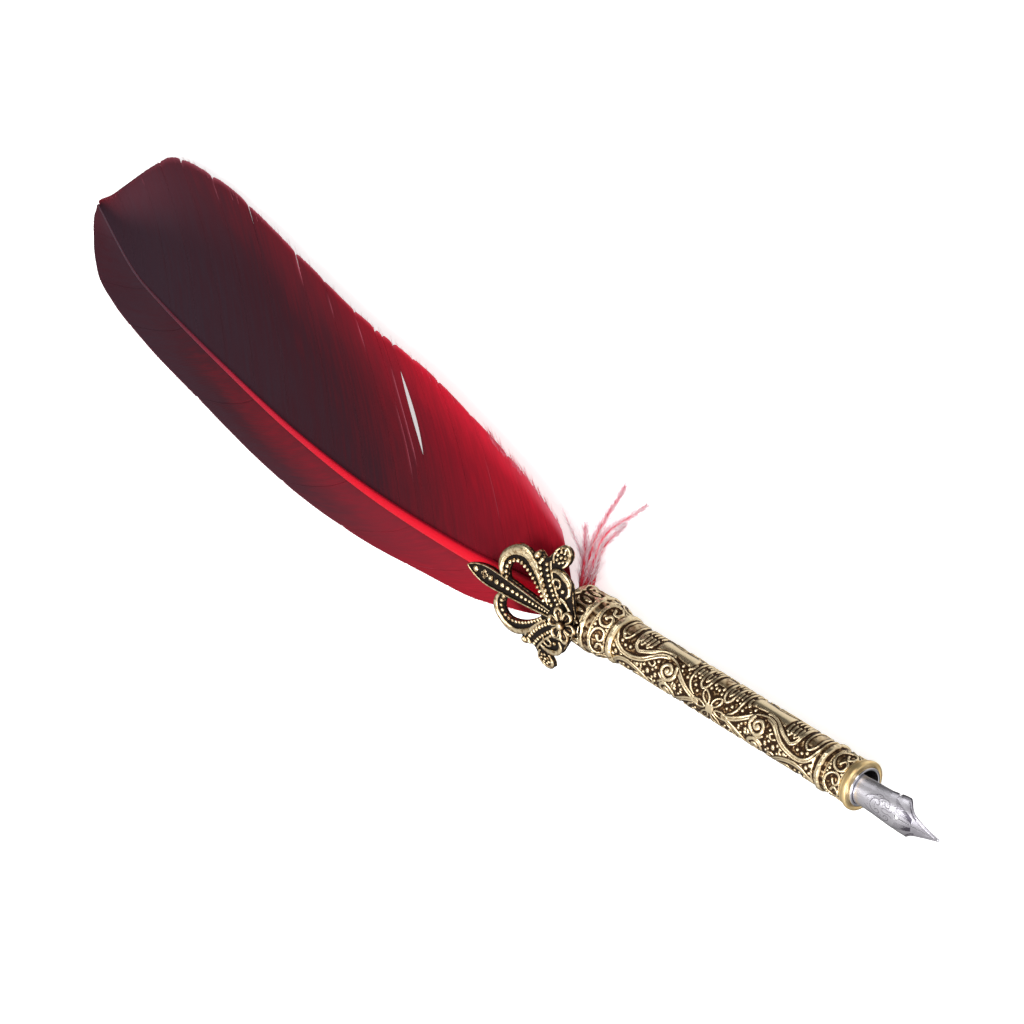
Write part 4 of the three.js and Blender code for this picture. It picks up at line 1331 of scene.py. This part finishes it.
def barb_lengths(vane, draw, along, low, high):
    """How far out the barbs of one bundle reach: notched where it parts from its neighbours, a
    little ragged, and short at the vane's foot."""
    depth = draw.uniform(0.3, 1.2) * (1 - 0.97 * smoothstep(0.55, 0.78, high))
    notch = 0.012 * depth * np.exp(-(along - low) / NOTCH_WIDTH)
    notch += 0.03 * depth * np.exp(-(high - along) / NOTCH_WIDTH) * (high < 1)
    ragged = 0.004 * draw.uniform(-1, 1, len(along)) * (1 - 0.8 * smoothstep(0.7, 0.85, high))
    return 1 - notch - np.abs(ragged) - foot_cut(vane, along)


def backlit_paleness(vane, along, out, low):
    """How pale a bundle is painted: light from behind at its edge, foot, seams and outer half; sheen
    on the narrow vane.
    """
    thin = 0.3 * smoothstep(0.982, 1.0, out) * (1 - smoothstep(0.55, 0.8, along))
    for at, inner, outer, strength in vane.backlit_seams:
        if abs(at - low) < 1e-6:
            seen = smoothstep(inner, inner + 0.1, out) * (1 - smoothstep(outer - 0.1, outer, out))
            thin += strength * np.exp(-(along - low) / 0.0011) * seen
    # on the narrow vane, a painted sheen: paler at its foot and its tip
    if vane.side < 0:
        thin += 0.04 - 0.03 * smoothstep(0.3, 0.55, along)
        return thin + 0.05 * smoothstep(0.8, 1.0, along)
    thin += 0.75 * smoothstep(0.72, 1.0, out) * np.exp(-along / 0.04)
    thin += 0.06 * smoothstep(0.988, 1.0, along)
    margin = 0.012 + 0.035 * smoothstep(0.5, 0.8, along) * (1 - smoothstep(0.86, 0.94, along))
    return thin + margin * smoothstep(0.5, 0.9, out)


def vane_sheet(vane):
    """A thin sheet of barbs hooked side by side, in bundles that part at the edge: its points and
    faces, and its dye, painted light and sheen, and ridges."""
    draw = np.random.default_rng(vane.seed)
    out = 1 - (1 - np.linspace(0, 1, VANE_COLS)) ** 1.25
    points, faces, dyes, backlights, ridges = [], [], [], [], []
    start = 0
    for low, high in zip([0.0, *vane.splits], [*vane.splits, 1.0]):
        n = max(4, round((high - low) * 2 * vane.count)) + 1
        along = np.linspace(low, high, n)
        length = barb_lengths(vane, draw, along, low, high)
        ag, og = np.meshgrid(along, out, indexing="ij")
        reach = og * length[:, None]
        shifted = np.clip(open_slits(vane, ag, reach, (low + high) / 2), 0, 1)
        middle = vane_points(vane, shifted, reach)
        ridge = (np.arange(n) % 2)[:, None] * np.ones(VANE_COLS)
        sway = 0.5 * value_noise(shifted * 9, reach * 1.6, vane.seed)
        sway += 0.12 * value_noise(shifted * 26, reach * 2.2, vane.seed + 1)
        lift = (ridge - 0.5) * BARB_HOOK * smoothstep(0.0, 0.05, reach)
        lift += sway * smoothstep(0.1, 0.8, reach)
        lift += 0.06 * np.exp(-(ag - low) / NOTCH_WIDTH) * smoothstep(0.55, 1.0, reach)
        half_sheet = VANE_SHEET * (1 - 0.6 * reach) / 2
        for up in (-vane.side, vane.side):
            layer = middle.copy()
            layer[..., 2] += lift + up * half_sheet
            points.append(layer.reshape(-1, 3))
        grain = 0.022 * value_noise(shifted * 150, reach * 1.6, vane.seed + 2)
        grain += 0.05 * value_noise(shifted * 420, reach * 9.0, vane.seed + 3)
        dyes += [np.clip(redness(vane, shifted, reach) + grain, 0, 1).ravel()] * 2
        backlights += [backlit_paleness(vane, ag, og, low).ravel()] * 2
        ridges += [ridge.ravel()] * 2
        faces.append(slab_faces(n, VANE_COLS, start))
        start += 2 * n * VANE_COLS
    return np.vstack(points), np.vstack(faces).tolist(), dyes, backlights, ridges


def edge_barbs(vane):
    """Loose barb ends that stand out from a vane's edge: their points and faces, and their dye and
    painted light from behind."""
    draw = np.random.default_rng(vane.seed + 5)
    places = np.sort(np.concatenate([draw.uniform(0.01, 0.97, vane.loose // 2),
                                     draw.uniform(0.0, LOOSE_FOOT, vane.loose // 2)]))
    draw = np.random.default_rng(vane.seed + 6)
    parts, dyes, backlights = [], [], []
    for along in places:
        at_foot = along < LOOSE_FOOT
        begin = draw.uniform(0.93, 0.98)
        size = vane.longest if at_foot else 0.22 * vane.longest * (along < 0.75)
        end = 1 + draw.uniform(0.1, 1.0) * size / WHOLE_BARB
        reach = np.linspace(begin, end, 5) - foot_cut(vane, along)
        line = vane_points(vane, np.full(5, along), reach)
        bend = draw.normal(0, 0.35, 3) * (0.8, 0.8, 0.5)
        line += np.linspace(0, 1, 5)[:, None] ** 2 * bend
        points, faces = tube(line, np.linspace(0.07, 0.02, 5), 3, 0.6)
        parts.append((points, faces))
        dyes.append(np.full(len(points), redness(vane, along, 1.0)))
        backlights.append(np.full(len(points), draw.uniform(0.3, 1.0) if at_foot else 0.25))
    return *joined(parts), dyes, backlights


def build_vanes():
    material = vane_look("dyed_vane")
    for vane in (BROAD_VANE, NARROW_VANE):
        points, faces, dyes, backlights, ridges = vane_sheet(vane)
        ends, end_faces, end_dyes, end_backlights = edge_barbs(vane)
        points, faces = joined([(points, faces), (ends, end_faces)])
        # `thin`: painted light from behind and painted sheen
        obj = mesh_object("look_" + vane.node, points, faces, material, {
            "dye": np.concatenate(dyes + end_dyes), "thin": np.concatenate(backlights + end_backlights),
            "barb": np.concatenate([*ridges, np.full(len(ends), 0.5)])})
        ready(obj, "pen", vane.node, slot="feather_vane")


def build_quill():
    steps, sides = 420, 28
    line = catmull(QUILL_LINE, np.linspace(0, len(QUILL_LINE) - 1, steps))
    points, faces = tube(line, quill_radius(line[:, 0]), sides, 0.9)
    turn = np.tile(np.linspace(0, 2 * np.pi, sides, endpoint=False), steps)
    along = np.clip(-np.repeat(line[:, 0], sides) / 168, 0, 1)
    # painted shade: the underside, and a line along the flank where the broad vane meets the quill
    painted_shade = smoothstep(0.3, 0.9, -np.sin(turn)) + 0.9 * smoothstep(0.75, 0.98, np.cos(turn))
    obj = mesh_object("look_quill_shaft", points, faces, quill_look("dyed_quill"), {
        "along": np.append(along, [0, 1]), "painted_shade": np.append(np.clip(painted_shade, 0, 1), [0, 0])})
    ready(obj, "pen", "quill_shaft", slot="quill_horn")


# Each tuft of down: its root, middle and tip, the radius of its stem, its barbs to a millimetre,
# and how pale it is.
DOWN_PLUMES = [
    ([(-2.1, 3.2, -1.6), (-2.9, 15, -3.2), (2.9, 30, -3)], 0.52, 24, 0.04),
    ([(-2.1, 3.4, -2.7), (-1.2, 16, -3.4), (9.5, 28.8, -2.6)], 0.52, 22, 0.16),
    ([(-2.1, 3.2, -3.8), (-1.4, 13, -4.2), (4.0, 21.6, -3.4)], 0.52, 24, 0.14),
    ([(-2.2, 2.6, -0.4), (-3.9, 10, -2.2), (-5.6, 15.7, -3)], 0.52, 26, 0.0),
    ([(-2.3, 1.2, -3.4), (-6.2, 9.5, -3.8), (-12.6, 16.8, -3.6)], 0.16, 7, 0.45),
]
DOWN_LOWEST = -6.2  # just above the floor
DOWN_STEM_STEPS = 25  # points along a stem
DOWN_BARB_STEPS = 7  # and along each of its barbs


def build_down():
    """Tufts of down: a thin stem with soft, curving barbs on both sides."""
    material = down_look("soft_down")
    t = np.linspace(0, 1, DOWN_BARB_STEPS)[:, None]  # along a barb
    ends = np.append(np.repeat(t[:, 0], 3), [0, 1])  # the same, at the points of its tube
    for index, (points, core, crowd, pale) in enumerate(DOWN_PLUMES):
        draw = np.random.default_rng(40 + index)
        stem = catmull(points, np.linspace(0, 2, DOWN_STEM_STEPS))
        length = np.linalg.norm(np.diff(stem, axis=0), axis=1).sum()
        parts = [tube(stem, np.linspace(core, 0.05, DOWN_STEM_STEPS), 6)]
        fades = [np.full(len(parts[0][0]), 0.05 + pale)]
        for _ in range(int(length * crowd)):
            f = draw.uniform(0.0, 1.0) ** 0.9
            u = np.array([f * 2, max(0, f * 2 - 0.1), min(2, f * 2 + 0.1)])
            base, before, after = catmull(points, u)
            ahead = after - before
            ahead /= np.linalg.norm(ahead)
            flank = np.array([-ahead[1], ahead[0], 0]) * draw.choice([-1, 1])
            size = draw.uniform(2.5, 7.5) * (1 - 0.4 * f)
            spread = draw.gamma(2.0, 0.095)
            line = base + ahead * size * t + flank * size * spread * t**1.3
            line += np.array([0, 0, draw.uniform(-0.35, 0.5)]) * t**2 * size * 0.35
            line += flank * draw.normal(0, 0.2) * np.sin(t * math.pi * draw.uniform(1, 2.4))
            line[:, 2] = np.maximum(line[:, 2], DOWN_LOWEST)
            parts.append(tube(line, np.linspace(0.075, 0.02, DOWN_BARB_STEPS), 3))
            fade = 0.08 + 0.2 * f + 0.2 * ends + 2.3 * spread * ends + pale
            fades.append(np.clip(fade + draw.uniform(-0.15, 0.2), 0, 1))
        all_points, faces = joined(parts)
        node = f"down_plume_{index + 1}"
        obj = mesh_object("look_" + node, all_points, faces, material,
                          {"fade": np.concatenate(fades)})
        ready(obj, "pen", node, slot="down")


def finish_hidden_nodes():
    """The inner CAD pieces keep their own meshes and take node materials."""
    looks = {"core_tube": shaded_inner_metal("liner_brass"), "ferrule_plug": shaded_inner_metal("plug_metal"),
             "nib_clip": shaded_inner_metal("spring_steel"), "quill_packing": glue_look("set_glue")}
    for node, material in looks.items():
        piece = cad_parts[node]
        piece.data.materials.clear()
        piece.data.materials.append(material)


build_vanes()
build_quill()
build_down()
finish_hidden_nodes()


# ---- Stage: floor, light and camera --------------------------------------------------------------
FLOOR_SIDE = 12.0  # metres
FLOOR_GLOW = 0.6  # like a paper sweep lit from behind, which softens the shadow
ROOM_UP = Vector((0.1, -0.45, 0.89)).normalized()  # where the room is brightest
# How bright the room is from the side away from ROOM_UP, at 0, to ROOM_UP, at 1: white paper at the
# bottom, a dark room round the middle, a bright ceiling.
ROOM_SHADES = [(0.0, 1.0), (0.07, 0.9), (0.13, 0.5), (0.2, 0.14), (0.4, 0.1), (0.52, 0.26),
               (0.63, 0.42), (0.78, 0.62), (1.0, 0.9)]
WALL_BRIGHT = 0.6  # a pale wall on the nib's side
BACKDROP_BRIGHT = 0.95  # the plain backdrop, where the room is seen straight on


def build_floor():
    reach = FLOOR_SIDE / 2
    corners = [(-reach, -reach, 0), (reach, -reach, 0), (reach, reach, 0), (-reach, reach, 0)]
    mesh = bpy.data.meshes.new("floor")
    mesh.from_pydata(corners, [], [(0, 1, 2, 3)])
    n = Nodes("pale_floor")
    paper = n.noise(0.4 * PER_MM, detail=2.0)
    n.set("Base Color", n.ramp(paper, [(0.3, (0.86, 0.86, 0.865)), (0.7, (0.88, 0.88, 0.885))]))
    n.set("Roughness", 0.9)
    n.set("Emission Color", (1.0, 1.0, 1.0, 1.0))
    n.set("Emission Strength", FLOOR_GLOW)
    mesh.materials.append(n.material)
    floor = in_scene("floor", mesh)
    floor.visible_glossy = False  # so that metal shows light and dark, and not one white table


def build_room():
    """What the metal reflects, and what lights the pen from all round."""
    world = bpy.data.worlds.new("studio")
    bpy.context.scene.world = world
    n = Nodes("studio", world)
    direction = n.add("ShaderNodeTexCoord").outputs["Generated"]
    up = n.add("ShaderNodeVectorMath", {0: direction, 1: ROOM_UP}, operation="DOT_PRODUCT")
    height = n.math("MULTIPLY_ADD", up.outputs["Value"], 0.5, 0.5)
    shade = n.add("ShaderNodeFloatCurve", {"Value": height})
    curve = shade.mapping.curves[0]
    for position, brightness in ROOM_SHADES[1:-1]:
        curve.points.new(position, brightness)
    curve.points[0].location = ROOM_SHADES[0]
    curve.points[-1].location = ROOM_SHADES[-1]
    shade.mapping.update()
    toward_nib = n.add("ShaderNodeSeparateXYZ", {0: direction}).outputs["X"]
    wall = n.remap(toward_nib, 0.35, 0.8, 0.0, WALL_BRIGHT)
    straight_on = n.add("ShaderNodeLightPath").outputs["Is Camera Ray"]
    seen = n.add("ShaderNodeMix", {"Factor": straight_on, "B": BACKDROP_BRIGHT,
                                   "A": n.math("ADD", shade.outputs[0], wall)})
    n.set("Strength", seen.outputs["Result"])
    n.set("Color", (1.0, 0.985, 0.965, 1.0))


def softbox(name, place, size, power):
    """A rectangular lamp at a place in metres, turned to the pen."""
    light = bpy.data.lights.new(name, "AREA")
    light.shape = "RECTANGLE"
    light.size, light.size_y = size
    light.energy = power
    lamp = in_scene(name, light)
    lamp.location = place
    lamp.rotation_euler = (-Vector(place)).to_track_quat("-Z", "Y").to_euler()


CAMERA_TARGET = (-18.92, 16.98, 6.22)  # where it looks, in the axis frame
CAMERA_DISTANCE = 1300.0
CAMERA_AZIMUTH = math.radians(125.818)  # from the -Y side towards +X
CAMERA_ELEVATION = math.radians(40.999)
CAMERA_ROLL = math.radians(-106.485)
CAMERA_FOCAL = 216.6
CAMERA_SENSOR = 36.0


def build_camera():
    camera = bpy.data.cameras.new("camera")
    camera.lens = CAMERA_FOCAL
    camera.sensor_width = CAMERA_SENSOR
    camera.clip_end = 20.0
    eye = in_scene("camera", camera)
    back = Vector((math.sin(CAMERA_AZIMUTH) * math.cos(CAMERA_ELEVATION),
                   -math.cos(CAMERA_AZIMUTH) * math.cos(CAMERA_ELEVATION), math.sin(CAMERA_ELEVATION)))
    level = Vector((-back.y, back.x, 0)).normalized()
    right = math.cos(CAMERA_ROLL) * level + math.sin(CAMERA_ROLL) * back.cross(level)
    turn = Matrix((right, back.cross(right), back)).transposed().to_4x4()
    place = Vector(placed(CAMERA_TARGET)) + CAMERA_DISTANCE * MM * back
    eye.matrix_world = Matrix.Translation(place) @ turn
    bpy.context.scene.camera = eye


build_floor()
build_room()
softbox("key_softbox", (0.1, 1.0, 0.7), (1.6, 0.5), 6.0)
softbox("side_softbox", (0.9, -0.5, 0.8), (0.5, 0.5), 5.0)
softbox("top_softbox", (-0.1, -0.1, 1.4), (0.9, 0.6), 9.0)
build_camera()
bpy.context.scene.view_settings.view_transform = "Standard"
